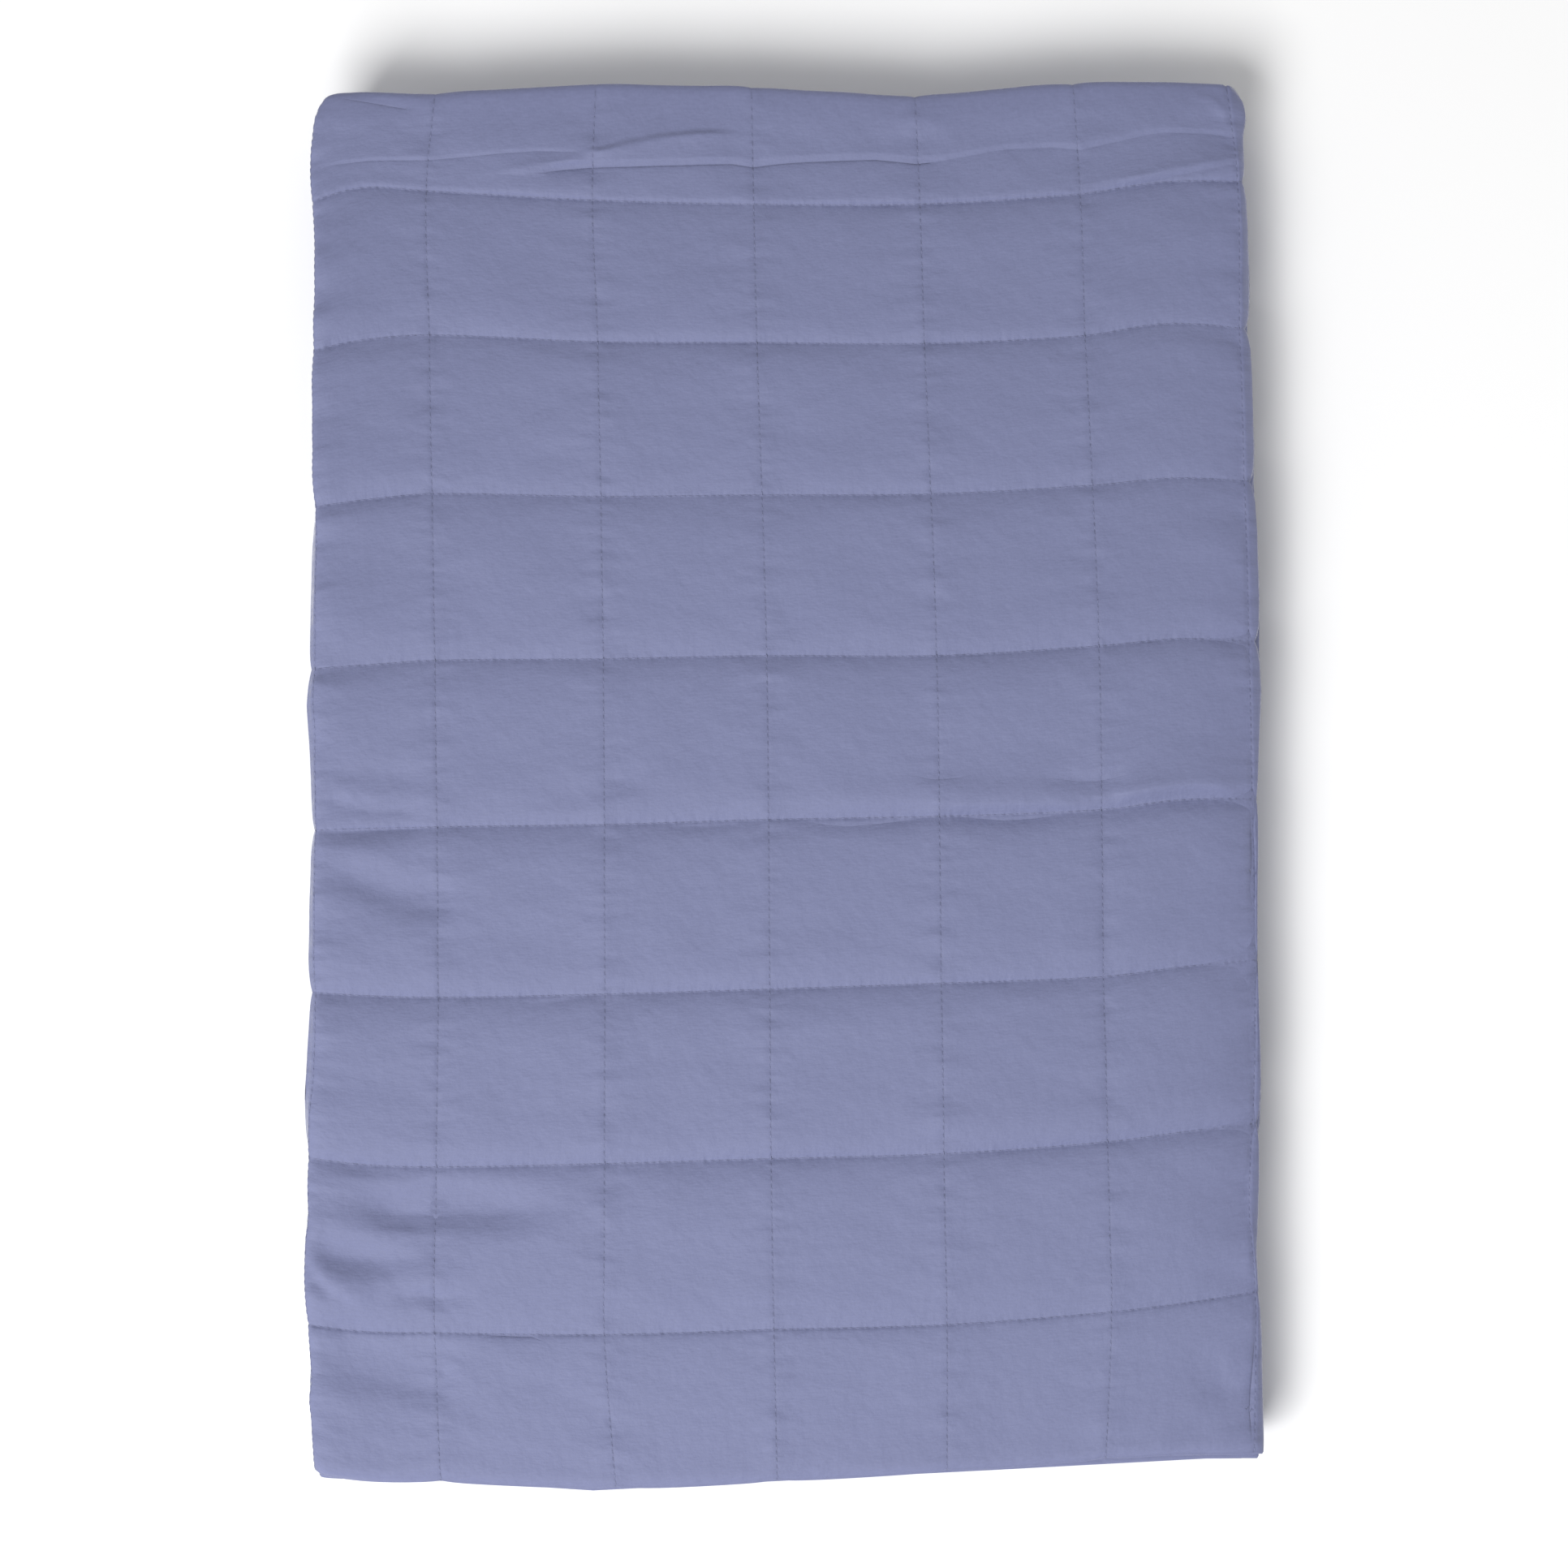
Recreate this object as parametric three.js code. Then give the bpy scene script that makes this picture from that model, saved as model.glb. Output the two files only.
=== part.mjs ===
// A light quilted bedspread, put away folded: first back and forth in four layers across its width,
// which makes a flat bundle, then the bundle back and forth in three along its length.
// Millimetres, +Z up. The pack lies on z = 0, its origin is under the middle of its box, +X runs across
// the folded width and +Y towards the thick fold that closes the top bundle.
import * as THREE from "three";

// The stack of layers
const LAYERS = 4; // layers in a bundle
const BUNDLES = 3;
const LAYER_PITCH = 5.4; // from the middle of one layer to the middle of the next
const BUNDLE_GAP = 0.8; // the extra room between two bundles
const BUNDLE_PITCH = LAYERS * LAYER_PITCH + BUNDLE_GAP;
const HALF_BUNDLE = ((LAYERS - 1) / 2) * LAYER_PITCH; // from a bundle's middle to its outermost layers
const LAYER_RADIUS = LAYER_PITCH / 2;
const BUNDLE_RADIUS = BUNDLE_PITCH / 2;

// Half of the thickness of the quilted cloth
const STITCHED = 0.6; // on a line of stitches
const HEM = 1; // at the turned-in edge
const FILLED = 2.2; // in the middle of a square
const CROWN = 3.5; // the same on the top face, where nothing lies on it
const AT_SIDE_FOLD = 1.9;
const PAST_LAST_SEAM = 0.5; // how full it is again, from 0 to 1, where the first side fold starts

// Folded outline
const SIDE_FOLD_X = 283.5; // where a side fold starts to turn, just past the last lengthwise seam
const EDGE_X = -287; // the long hems
const HEM_WIDTH = 5; // from an edge to its row of stitches
const FIRST_END_Y = -415; // the hem of the top bundle
const FAR_FOLD_Y = 404.5; // where the fold at +Y starts to turn
const NEAR_FOLD_Y = -391; // where the fold at -Y starts to turn
const LAST_END_Y = 409; // the hem of the bottom bundle
const BOX_CENTRE = { x: 1.16, y: 2.51 }; // from the tables' origin to the middle of the pack's box

// Each square is flat on top over the middle part of its width, between its two slopes
const SLOPES = [0.22, 0.78];
const SIDE_FOLD_STEPS = 4;
const END_FOLD_STEPS = 6;
const HIDDEN_ALONG_STEPS = 6;
const SEAM_ON_FAR_FOLD = 4; // the step of the fold at +Y that carries the next cross seam

// Lengthwise seams of the top layer, left to right: x where each crosses the places named in PLACES_Y
const PLACES_Y = {
  end: -415, h7: -326, low: -275, bend: -200, h5: -122, h3: 78, h1: 272, h0: 360, top: 428.5,
};
const LENGTHWISE = [
  { seam: "v1", at: -211, end: -206, h7: -210, low: -210, bend: -209,
    h5: -208.5, h3: -211.5, h1: -216, h0: -218.5, top: -213 },
  { seam: "v2", at: -110, end: -101, h7: -108, low: -108, bend: -108,
    h5: -108, h3: -109.5, h1: -113.5, h0: -117, top: -115 },
  { seam: "v3", at: -10, end: -4, h7: -6, low: -7, bend: -8,
    h5: -8.5, h3: -10.5, h1: -16.5, h0: -18.5, top: -20 },
  { seam: "v4", at: 92, end: 98, h7: 98, low: 97, bend: 96,
    h5: 95, h3: 92.5, h1: 85.5, h0: 83, top: 80 },
  { seam: "v5", at: 190, end: 193.5, h7: 197, low: 196, bend: 194.5,
    h5: 193, h3: 191, h1: 183.5, h0: 181, top: 176.5 },
  { seam: "v6", at: 281, end: 283.5, h7: 284.5, low: 281, bend: 284.5,
    h5: 285.5, h3: 283, h1: 278.5, h0: 278, top: 271 },
];

// The pack's outline on its two sides: the long hem of the top layer, and the outermost line of the fold
const HEM_LINE = [
  { y: -415, x: -283 }, { y: -371, x: -286 }, { y: -357, x: -285 }, { y: -300, x: -289 },
  { y: -262, x: -287 }, { y: -200, x: -289 }, { y: -145, x: -287 }, { y: -60, x: -287 },
  { y: 0, x: -287 }, { y: 58, x: -290 }, { y: 100, x: -288 }, { y: 160, x: -286.5 }, { y: 255, x: -288 },
  { y: 290, x: -286.5 }, { y: 322, x: -286 }, { y: 377, x: -289.5 }, { y: 402, x: -288 },
  { y: 415, x: -285.5 }, { y: 428.5, x: -277 },
];
const FOLD_LINE = [
  { y: -415, x: 290.5 }, { y: -375, x: 289.5 }, { y: -345, x: 289 }, { y: -300, x: 286 },
  { y: -275, x: 288 }, { y: -199, x: 289.5 }, { y: -145, x: 288 }, { y: -90, x: 288 },
  { y: -50, x: 289 }, { y: 37, x: 291 }, { y: 58, x: 291 }, { y: 126, x: 290 }, { y: 195, x: 288 },
  { y: 252, x: 287 }, { y: 290, x: 286 }, { y: 332, x: 285 }, { y: 376, x: 283.5 }, { y: 391, x: 283 },
  { y: 405, x: 285 }, { y: 417, x: 282.5 }, { y: 428.5, x: 276 },
];

// Cross seams of the top layer, hem to fold: y where each crosses the places named in PLACES_X
const PLACES_X = {
  left: -285, bay: -252, v1: -211, v2: -110, v3: -10, v4: 92, v5: 190, late: 237, right: 285,
};
const CROSSING = [
  { seam: "end", at: -415, left: -415.5, bay: -419.5,
    v1: -420.5, v2: -424, v3: -420, v4: -414, v5: -407, late: -404, right: -405 },
  { seam: "h7", at: -326, left: -325, bay: -329.5,
    v1: -330.5, v2: -331.5, v3: -328.5, v4: -325.5, v5: -318, late: -312.5, right: -306 },
  { seam: "h6", at: -224, left: -225, bay: -229.5,
    v1: -231, v2: -229, v3: -226, v4: -223, v5: -216, late: -210, right: -205 },
  { seam: "h5", at: -122, left: -126, bay: -128,
    v1: -129, v2: -127, v3: -124, v4: -120.5, v5: -116.5, late: -110.5, right: -106 },
  { seam: "h4", at: -20, left: -28, bay: -27,
    v1: -26, v2: -24.5, v3: -21.5, v4: -19.5, v5: -15.5, late: -9.5, right: -8.5 },
  { seam: "h3", at: 78, left: 69.5, bay: 72,
    v1: 75, v2: 76, v3: 78, v4: 78, v5: 84, late: 88.5, right: 87.5 },
  { seam: "h2", at: 176, left: 167.5, bay: 172.5,
    v1: 176.5, v2: 175, v3: 176, v4: 176.5, v5: 182, late: 186.5, right: 185.5 },
  { seam: "h1", at: 272, left: 263.5, bay: 270.5,
    v1: 274, v2: 270, v3: 269.5, v4: 269, v5: 274, late: 281.5, right: 279.5 },
  { seam: "h0", at: 360, left: 355, bay: 364.5,
    v1: 363, v2: 357.5, v3: 355, v4: 355, v5: 361.5, late: 369, right: 370.5 },
  { seam: "top", at: 428.5, left: 423.5, bay: 424.5,
    v1: 425, v2: 431.5, v3: 431, v4: 425, v5: 433, late: 432.5, right: 432.5 },
];

// The layers under the top one have stations at these places only, so what bends the whole pack runs
// straight from one to the next
const SHARED_X = [-285, -110, 92, 210, 285];

// How far the bundles have slid on each other, by height in the pack
const LEAN = [
  { bundle: "bottom", z: 10, x: -2.5, y: 2 },
  { bundle: "middle", z: 33, x: 2, y: -1.5 },
  { bundle: "top", z: 56, x: 0, y: 0 },
];

// How far each fold or edge of a bundle reaches past the top layer's, going down through the layers
const REACH = { topEdge: 0, firstFold: 0, secondFold: -4.5, thirdFold: -1.5, lastEdge: -4 };

// The seams draw the side folds and the hems in where they cross them
const NOTCH = { depth: 2.2, from: 280, to: 288 };

// The pack is thinner towards its thick fold and towards its hem end, and at its sides by the share at each
// place of SHARED_X. All but the top layer slopes evenly to the right side, and the top layer stays up till
// it rolls over.
const THINNER = { fold: 0.06, foldFrom: 170, hems: 0.05, hemsFrom: -315, sides: [-0.015, 0, 0, 0.02, 0.14] };
const ROLL = { drop: 8, width: 18 };

// The thick fold's outer layers turn on a rounded square, which is flatter on top than a half round
const FOLD_SQUARE = 3;

// Slow waves along the sides, under the top layer and its fold, which keep the folds from lying in line
const WAVES = { reach: 1.3, length: 62, turn: 0.55, width: 26 };

const { smoothstep } = THREE.MathUtils;

// The value at one place along a smooth curve through the values at some places.
function through(places, values, at) {
  const last = places.length - 1;
  const here = THREE.MathUtils.clamp(at, places[0], places[last]);
  let k = 0;
  while (k < last - 1 && here > places[k + 1]) k += 1;
  const slope = (i) => {
    const a = Math.max(i - 1, 0);
    const b = Math.min(i + 1, last);
    return (values[b] - values[a]) / (places[b] - places[a]);
  };
  const span = places[k + 1] - places[k];
  const t = (here - places[k]) / span;
  const end = t * t * (3 - 2 * t);
  const leaving = t * (1 - t) * (1 - t) * slope(k) * span;
  const coming = t * t * (1 - t) * slope(k + 1) * span;
  return values[k] * (1 - end) + values[k + 1] * end + leaving - coming;
}

// The same along straight lines.
function straight(places, values, at) {
  const here = THREE.MathUtils.clamp(at, places[0], places[places.length - 1]);
  let k = 0;
  while (here > places[k + 1]) k += 1;
  return THREE.MathUtils.mapLinear(here, places[k], places[k + 1], values[k], values[k + 1]);
}

// How far each seam of one table lies from its even place, at one place along it.
function offsetsOf(seams, places, along) {
  const names = Object.keys(places);
  const rows = seams.map((seam) => names.map((name) => seam[name]));
  return rows.map((row, k) => through(Object.values(places), row, along) - seams[k].at);
}

// How far the cloth lies from its even place along it, taken from the cross seams.
function driftAlong(x, y) {
  return through(CROSSING.map((seam) => seam.at), offsetsOf(CROSSING, PLACES_X, x), y);
}

// The same across it, taken from the lengthwise seams and the outline on both sides.
function driftAcross(x, y) {
  const lineAt = (line) => through(line.map((point) => point.y), line.map((point) => point.x), y);
  const foldReach = SIDE_FOLD_X + LAYER_RADIUS + AT_SIDE_FOLD;
  const offsets = [
    lineAt(HEM_LINE) - EDGE_X,
    ...offsetsOf(LENGTHWISE, PLACES_Y, y),
    lineAt(FOLD_LINE) - foldReach,
  ];
  return through([EDGE_X, ...LENGTHWISE.map((seam) => seam.at), foldReach], offsets, x);
}

// How far a point of the pack lies from the even grid. ownShare is how much of the top layer's own bends
// it has: 1 on the top face, less on the thick fold, where they only reach out.
function drift(x, y, ownShare) {
  const shared = straight(SHARED_X, SHARED_X.map((place) => driftAlong(place, y)), x);
  const own = driftAlong(x, y) - shared;
  return {
    x: driftAcross(x, y),
    y: shared + (ownShare < 1 ? Math.max(own, 0) : own) * ownShare,
  };
}

// Stations across the open cloth. Each gives its place in the bundle's section, the cloth's direction out
// there, and how full the cloth is: 0 on a seam, 1 in a square.
function stationsAcross() {
  const list = [];
  const height = (layer) => HALF_BUNDLE - layer * LAYER_PITCH;
  const flat = (layer, x, full, reach = 0) =>
    list.push({ layer, x, h: height(layer), outX: 0, outH: layer % 2 ? -1 : 1, full, reach, edge: false });
  const fold = (layer, side, reach) => {
    const inward = layer % 2 ? -1 : 1; // an odd layer's outer face is on the inside of its fold
    for (let step = 1; step < SIDE_FOLD_STEPS; step++) {
      const turn = (step / SIDE_FOLD_STEPS) * Math.PI;
      list.push({
        layer: layer + 0.5,
        x: side * (SIDE_FOLD_X + LAYER_RADIUS * Math.sin(turn)),
        h: height(layer) - LAYER_RADIUS + LAYER_RADIUS * Math.cos(turn),
        outX: inward * side * Math.sin(turn),
        outH: inward * Math.cos(turn),
        full: 1,
        reach,
        edge: false,
      });
    }
  };
  // Top layer: hem, stitched edge, then three stations to a square up to the first fold
  flat(0, EDGE_X, 0, REACH.topEdge);
  list[0].edge = true;
  flat(0, EDGE_X + HEM_WIDTH, 0, REACH.topEdge);
  const seams = [EDGE_X + HEM_WIDTH, ...LENGTHWISE.map((seam) => seam.at)];
  for (let k = 1; k < seams.length; k++) {
    for (const share of SLOPES) flat(0, seams[k - 1] + share * (seams[k] - seams[k - 1]), 1);
    flat(0, seams[k], 0, k === seams.length - 1 ? REACH.firstFold : 0);
  }
  flat(0, SIDE_FOLD_X, PAST_LAST_SEAM, REACH.firstFold);
  // The other three, each between two folds, and the last one out to its hem
  const folds = [REACH.firstFold, REACH.secondFold, REACH.thirdFold];
  for (let layer = 1; layer < LAYERS; layer++) {
    const side = layer % 2 ? 1 : -1;
    const endX = layer === LAYERS - 1 ? EDGE_X : -side * SIDE_FOLD_X;
    const endReach = layer === LAYERS - 1 ? REACH.lastEdge : folds[layer];
    fold(layer - 1, side, folds[layer - 1]);
    flat(layer, side * SIDE_FOLD_X, 1, folds[layer - 1]);
    const between = SHARED_X.slice(1, -1);
    for (const x of side > 0 ? between.reverse() : between) flat(layer, x, 1);
    flat(layer, endX, 1, endReach);
  }
  list[list.length - 1].edge = true;
  return list;
}

// Stations along the open cloth: the bundle's middle there, its direction up through the layers, and how
// full the cloth is.
function stationsAlong() {
  const list = [];
  const low = HALF_BUNDLE + FILLED; // the middle of the bottom bundle
  const level = (bundle) => low + (BUNDLES - 1 - bundle) * BUNDLE_PITCH;
  const flat = (bundle, y, full, edge = false) =>
    list.push({ bundle, y, z: level(bundle), upY: 0, upZ: bundle % 2 ? -1 : 1, full, edge, turned: 0 });
  const fold = (bundle, y, direction, seamStep) => {
    const inward = bundle % 2 ? -1 : 1; // the second fold is wrapped the other way round
    for (let step = 1; step < END_FOLD_STEPS; step++) {
      const turn = (step / END_FOLD_STEPS) * Math.PI;
      list.push({
        bundle: bundle + 0.5,
        y: y + direction * BUNDLE_RADIUS * Math.sin(turn),
        z: level(bundle) - BUNDLE_RADIUS + BUNDLE_RADIUS * Math.cos(turn),
        upY: inward * direction * Math.sin(turn),
        upZ: inward * Math.cos(turn),
        full: step === seamStep ? 0 : 1,
        edge: false,
        turned: step / END_FOLD_STEPS,
      });
    }
  };
  flat(0, FIRST_END_Y, 0, true);
  flat(0, FIRST_END_Y + HEM_WIDTH, 0);
  const seams = [FIRST_END_Y + HEM_WIDTH, ...CROSSING.slice(1, -1).map((seam) => seam.at)];
  for (let k = 1; k < seams.length; k++) {
    for (const share of SLOPES) flat(0, seams[k - 1] + share * (seams[k] - seams[k - 1]), 1);
    flat(0, seams[k], 0);
  }
  flat(0, THREE.MathUtils.lerp(seams[seams.length - 1], FAR_FOLD_Y, 0.5), 1);
  flat(0, FAR_FOLD_Y, 1);
  fold(0, FAR_FOLD_Y, 1, SEAM_ON_FAR_FOLD);
  const hidden = (bundle, from, to) => {
    for (let step = 0; step <= HIDDEN_ALONG_STEPS; step++) {
      const last = bundle === BUNDLES - 1 && step === HIDDEN_ALONG_STEPS;
      flat(bundle, THREE.MathUtils.lerp(from, to, step / HIDDEN_ALONG_STEPS), last ? 0 : 1, last);
    }
  };
  hidden(1, FAR_FOLD_Y, NEAR_FOLD_Y);
  fold(1, NEAR_FOLD_Y, -1, -1);
  hidden(2, NEAR_FOLD_Y, LAST_END_Y);
  return list;
}

// Half of the cloth's thickness on one face at a crossing of two stations.
function halfThickness(across, along, face) {
  const outside = face > 0;
  if (outside && across.layer === LAYERS - 1 && along.bundle === BUNDLES - 1) return FILLED;
  if (across.edge || along.edge) return HEM;
  const onTop = outside && across.layer === 0 && along.bundle === 0;
  const turning = across.layer % 1 !== 0;
  const most = turning ? AT_SIDE_FOLD : onTop ? CROWN : FILLED;
  return THREE.MathUtils.lerp(STITCHED, most, across.full * along.full);
}

// How much further out than a half round the thick fold lies, as a share of its radius.
function squarer(along, h) {
  if (along.bundle !== 0.5 || along.turned > 0.5) return 0;
  const turn = along.turned * Math.PI;
  const square = (Math.cos(turn) ** FOLD_SQUARE + Math.sin(turn) ** FOLD_SQUARE) ** (-1 / FOLD_SQUARE) - 1;
  return square * smoothstep(h, -HALF_BUNDLE, HALF_BUNDLE);
}

// How far the top layer stays over the even slope of the others before it rolls over at the right.
function keptUp(x) {
  const [from, to] = SHARED_X.slice(-2);
  const inward = THREE.MathUtils.clamp(to - x, 0, to - from);
  return ROLL.drop * (1 - inward / (to - from) - Math.exp(-inward / ROLL.width));
}

// A point of the open cloth, folded across, folded along, and then laid as the real pack lies.
function foldedPlace(across, along, face) {
  const half = face * halfThickness(across, along, face);
  const evenX = across.x + half * across.outX;
  const h = across.h + half * across.outH;
  const ofTopLayer = across.layer === 0 && along.bundle < 1;
  const rise = ofTopLayer ? keptUp(evenX) * (1 - smoothstep(along.turned, 0, 0.5)) : 0;
  const up = h + squarer(along, h) * (BUNDLE_RADIUS + h) + rise;
  const y = along.y + up * along.upY;
  const z = along.z + up * along.upZ;
  const nearSide = smoothstep(Math.abs(evenX), SIDE_FOLD_X - WAVES.width, SIDE_FOLD_X);
  const nearEdge = smoothstep(Math.abs(evenX), NOTCH.from, NOTCH.to);
  const inFirstFold = across.layer < 1 || (across.layer === 1 && across.x > 0);
  const free = inFirstFold ? smoothstep(along.bundle < 1 ? along.turned : 1, 0.5, 1) : 1;
  const wave = free * WAVES.reach * Math.sin(y / WAVES.length + z * WAVES.turn);
  const pull = nearSide * (wave - across.reach) + nearEdge * NOTCH.depth * (1 - along.full);
  const x = evenX - Math.sign(evenX) * pull;
  const endNotch = along.edge ? NOTCH.depth * (1 - across.full) : 0;
  const ownShare = across.layer > 0 || along.bundle > 0.5 ? 0 : 1 - along.turned;
  const off = drift(x, y, ownShare);
  const slid = (way) => through(LEAN.map((bundle) => bundle.z), LEAN.map((bundle) => bundle[way]), z);
  const { fold, foldFrom, hems, hemsFrom, sides } = THINNER;
  const towardsFold = fold * smoothstep(y, foldFrom, FAR_FOLD_Y);
  const towardsHems = hems * smoothstep(-y, -hemsFrom, -FIRST_END_Y);
  const thinner = towardsFold + towardsHems + straight(SHARED_X, sides, x);
  return new THREE.Vector3(
    x + off.x + slid("x") - BOX_CENTRE.x,
    y + off.y + slid("y") - BOX_CENTRE.y - Math.sign(y) * endNotch,
    z * (1 - thinner),
  );
}

// The quilted cloth: a flat slab of cells, each point of which is moved to its folded place.
function quiltedCloth() {
  const across = stationsAcross();
  const along = stationsAlong();
  const slab = new THREE.BoxGeometry(1, 1, 1, across.length - 1, along.length - 1, 1);
  const points = slab.attributes.position;
  for (let k = 0; k < points.count; k++) {
    const a = across[Math.round((points.getX(k) + 0.5) * (across.length - 1))];
    const b = along[Math.round((points.getY(k) + 0.5) * (along.length - 1))];
    const place = foldedPlace(a, b, Math.sign(points.getZ(k)));
    points.setXYZ(k, place.x, place.y, place.z);
  }
  slab.computeVertexNormals();
  return slab;
}

const cotton = new THREE.MeshStandardMaterial({ color: 0x8487b0, roughness: 0.85, metalness: 0 });

const bedspread = new THREE.Mesh(quiltedCloth(), cotton);
bedspread.name = "bedspread";

const group = new THREE.Group();
group.add(bedspread);

export default group;
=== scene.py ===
import math

import bmesh
import bpy
import numpy as np
from mathutils import Matrix, Vector


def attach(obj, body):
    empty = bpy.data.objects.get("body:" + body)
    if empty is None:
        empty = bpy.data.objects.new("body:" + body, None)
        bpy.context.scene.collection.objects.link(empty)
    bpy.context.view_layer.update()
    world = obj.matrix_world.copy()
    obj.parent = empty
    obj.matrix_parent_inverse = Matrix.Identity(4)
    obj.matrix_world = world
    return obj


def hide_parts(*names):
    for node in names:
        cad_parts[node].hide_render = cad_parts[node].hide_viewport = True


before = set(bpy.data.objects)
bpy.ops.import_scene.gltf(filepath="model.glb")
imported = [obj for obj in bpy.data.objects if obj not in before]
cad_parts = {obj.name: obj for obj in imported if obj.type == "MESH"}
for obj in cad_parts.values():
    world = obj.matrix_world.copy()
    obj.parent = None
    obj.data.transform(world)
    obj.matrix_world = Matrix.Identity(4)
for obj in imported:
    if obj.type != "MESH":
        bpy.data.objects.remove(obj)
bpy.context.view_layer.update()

# ---------------------------------------------------------------------------
# The quilted cloth
# Two faces of cotton sateen with a thin filling between them, sewn through in squares of about 10 cm, its
# edges turned in. It is folded in four layers across its width, and that bundle in three along its length.
# ---------------------------------------------------------------------------
MM = 0.001  # the cloth's sizes are in millimetres
LAYERS, BUNDLES = 4, 3
LAYER_PITCH, BUNDLE_GAP = 5.4, 0.8
LAYER_RADIUS = LAYER_PITCH / 2
MIDDLE = (LAYERS - 1) / 2  # the middle of a bundle, in layers from its top
TOP_LEVEL = MIDDLE * LAYER_PITCH
BUNDLE_PITCH = LAYERS * LAYER_PITCH + BUNDLE_GAP
BUNDLE_RADIUS = BUNDLE_PITCH / 2
STITCHED, HEM, FILLED, AT_SIDE_FOLD = 0.6, 1.0, 2.2, 1.9  # half of the cloth's thickness
FILLS_OVER = 6  # how far from the stitches the filling comes to its thickness
RIM, RIM_LEAST = 1.2, 0.09  # the hems are rounded over this, down to the root of this share of their half
SIDE_FOLD_X, EDGE_X, HEM_WIDTH = 283.5, -287, 5
FIRST_END_Y, FAR_FOLD_Y, NEAR_FOLD_Y, LAST_END_Y = -415, 404.5, -391, 409
BOX_CENTRE = (1.16, 2.51)  # from the tables' origin to the middle of the pack's box

# Lengthwise seams of the top layer: x where each crosses the places in PLACES_Y
PLACES_Y = [-415, -326, -275, -200, -122, 78, 272, 360, 428.5]
LENGTHWISE = {
    -211: [-206, -210, -210, -209, -208.5, -211.5, -216, -218.5, -213],
    -110: [-101, -108, -108, -108, -108, -109.5, -113.5, -117, -115],
    -10: [-4, -6, -7, -8, -8.5, -10.5, -16.5, -18.5, -20],
    92: [98, 98, 97, 96, 95, 92.5, 85.5, 83, 80],
    190: [193.5, 197, 196, 194.5, 193, 191, 183.5, 181, 176.5],
    281: [283.5, 284.5, 281, 284.5, 285.5, 283, 278.5, 278, 271],
}
# The outline on the two sides, by y: the long hem of the top layer, and the outermost line of the side fold
HEM_LINE = {
    -415: -283, -384: -284.75, -371: -286.25, -357: -285, -343: -286, -300: -289.25, -275: -288.75,
    -262: -287, -245: -288, -200: -289, -178: -288.75, -145: -287.25, -105: -287.75, -60: -287.25,
    -38: -287, 0: -287, 18: -287.5, 42: -288.75, 58: -290, 100: -288.25, 140: -287.25, 160: -286.5,
    195: -287.25, 215: -287.25, 226: -287.75, 240: -287.75, 255: -287.75, 290: -286.5, 322: -285.75,
    340: -286.5, 377: -289.5, 402: -288.25, 415: -285.5, 428.5: -277,
}
FOLD_LINE = {
    -415: 290.5, -375: 289.5, -345: 289, -300: 286, -275: 287.75, -250: 288.25, -199: 289.5, -170: 289,
    -145: 288.25, -90: 287.75, -50: 288.75, 0: 289.25, 37: 290.75, 58: 291.25, 98: 291, 126: 290,
    155: 289.5, 195: 288.25, 230: 287.5, 252: 287.25, 290: 286, 332: 285.25, 344: 285.25, 376: 283.5,
    391: 283, 405: 285, 417: 282.5, 428.5: 276,
}
# Cross seams of the top layer, from the hem to the thick fold: y where each crosses the places in PLACES_X
PLACES_X = [-285, -252, -211, -110, -10, 92, 190, 237, 285]
CROSSING = {
    -415: [-415.5, -419.5, -420.5, -424, -420, -414, -407, -404, -405],
    -326: [-325, -329.5, -330.5, -331.5, -328.5, -325.5, -318, -312.5, -306],
    -224: [-225, -229.5, -231, -229, -226, -223, -216, -210, -205],
    -122: [-126, -128, -129, -127, -124, -120.5, -116.5, -110.5, -106],
    -20: [-28, -27, -26, -24.5, -21.5, -19.5, -15.5, -9.5, -8.5],
    78: [69.5, 72, 75, 76, 78, 78, 84, 88.5, 87.5],
    176: [167.5, 172.5, 176.5, 175, 176, 176.5, 182, 186.5, 185.5],
    272: [263.5, 270.5, 274, 270, 269.5, 269, 274, 281.5, 279.5],
    360: [355, 364.5, 363, 357.5, 355, 355, 361.5, 369, 370.5],
    428.5: [423.5, 424.5, 425, 431.5, 431, 425, 433, 432.5, 432.5],
}
SHARED_X = [-285, -110, 92, 210, 285]  # what bends the whole pack runs straight between these places
LEAN = {10: (-2.5, 2), 33: (2, -1.5), 56: (0, 0)}  # how far the bundles have slid, by height
END_FLAPS = {
    -290: 1.5, -276: 2.4, -266: 2.2, -258: 0, -172: 0, -160: 1.6, -140: 2.6, -108: 2.4, -98: 1.6, -60: 1.8,
    -52: 0.4, 0: 1.5, 60: 2.2, 100: 1.6, 190: 1.2, 250: 1.8, 285: 2.4,
}  # how far the layers under the top one reach past its end hem, by x
FLAPS_OVER = 60  # and the length of cloth that gives it
REACH = [0, 0, -4.5, -1.5, -4]  # top hem, the three side folds and the last hem, past the top layer's
# Each seam draws the side folds, the hems and the ends in, and the edges are a little uneven between
NOTCH = {"depth": 2.4, "length": 9, "from": 280, "to": 288, "clear_of_ends": 20}
END_NOTCH = {"depth": 1.6, "length": 9, "fade": 24}
EDGE_WAVES = {"depth": 0.5, "length": 17, "height": 3, "seed": 21}
CORNER = {"drawn": 7, "across": 13, "along": 50}  # where its two hems meet, the top layer is drawn back
# The layers below the top one wander a little, from the second layer's middle on
SWAY = {"reach": 1.3, "length": 62, "turn": 0.55, "width": 26, "from": 150, "to": 400}
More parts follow.
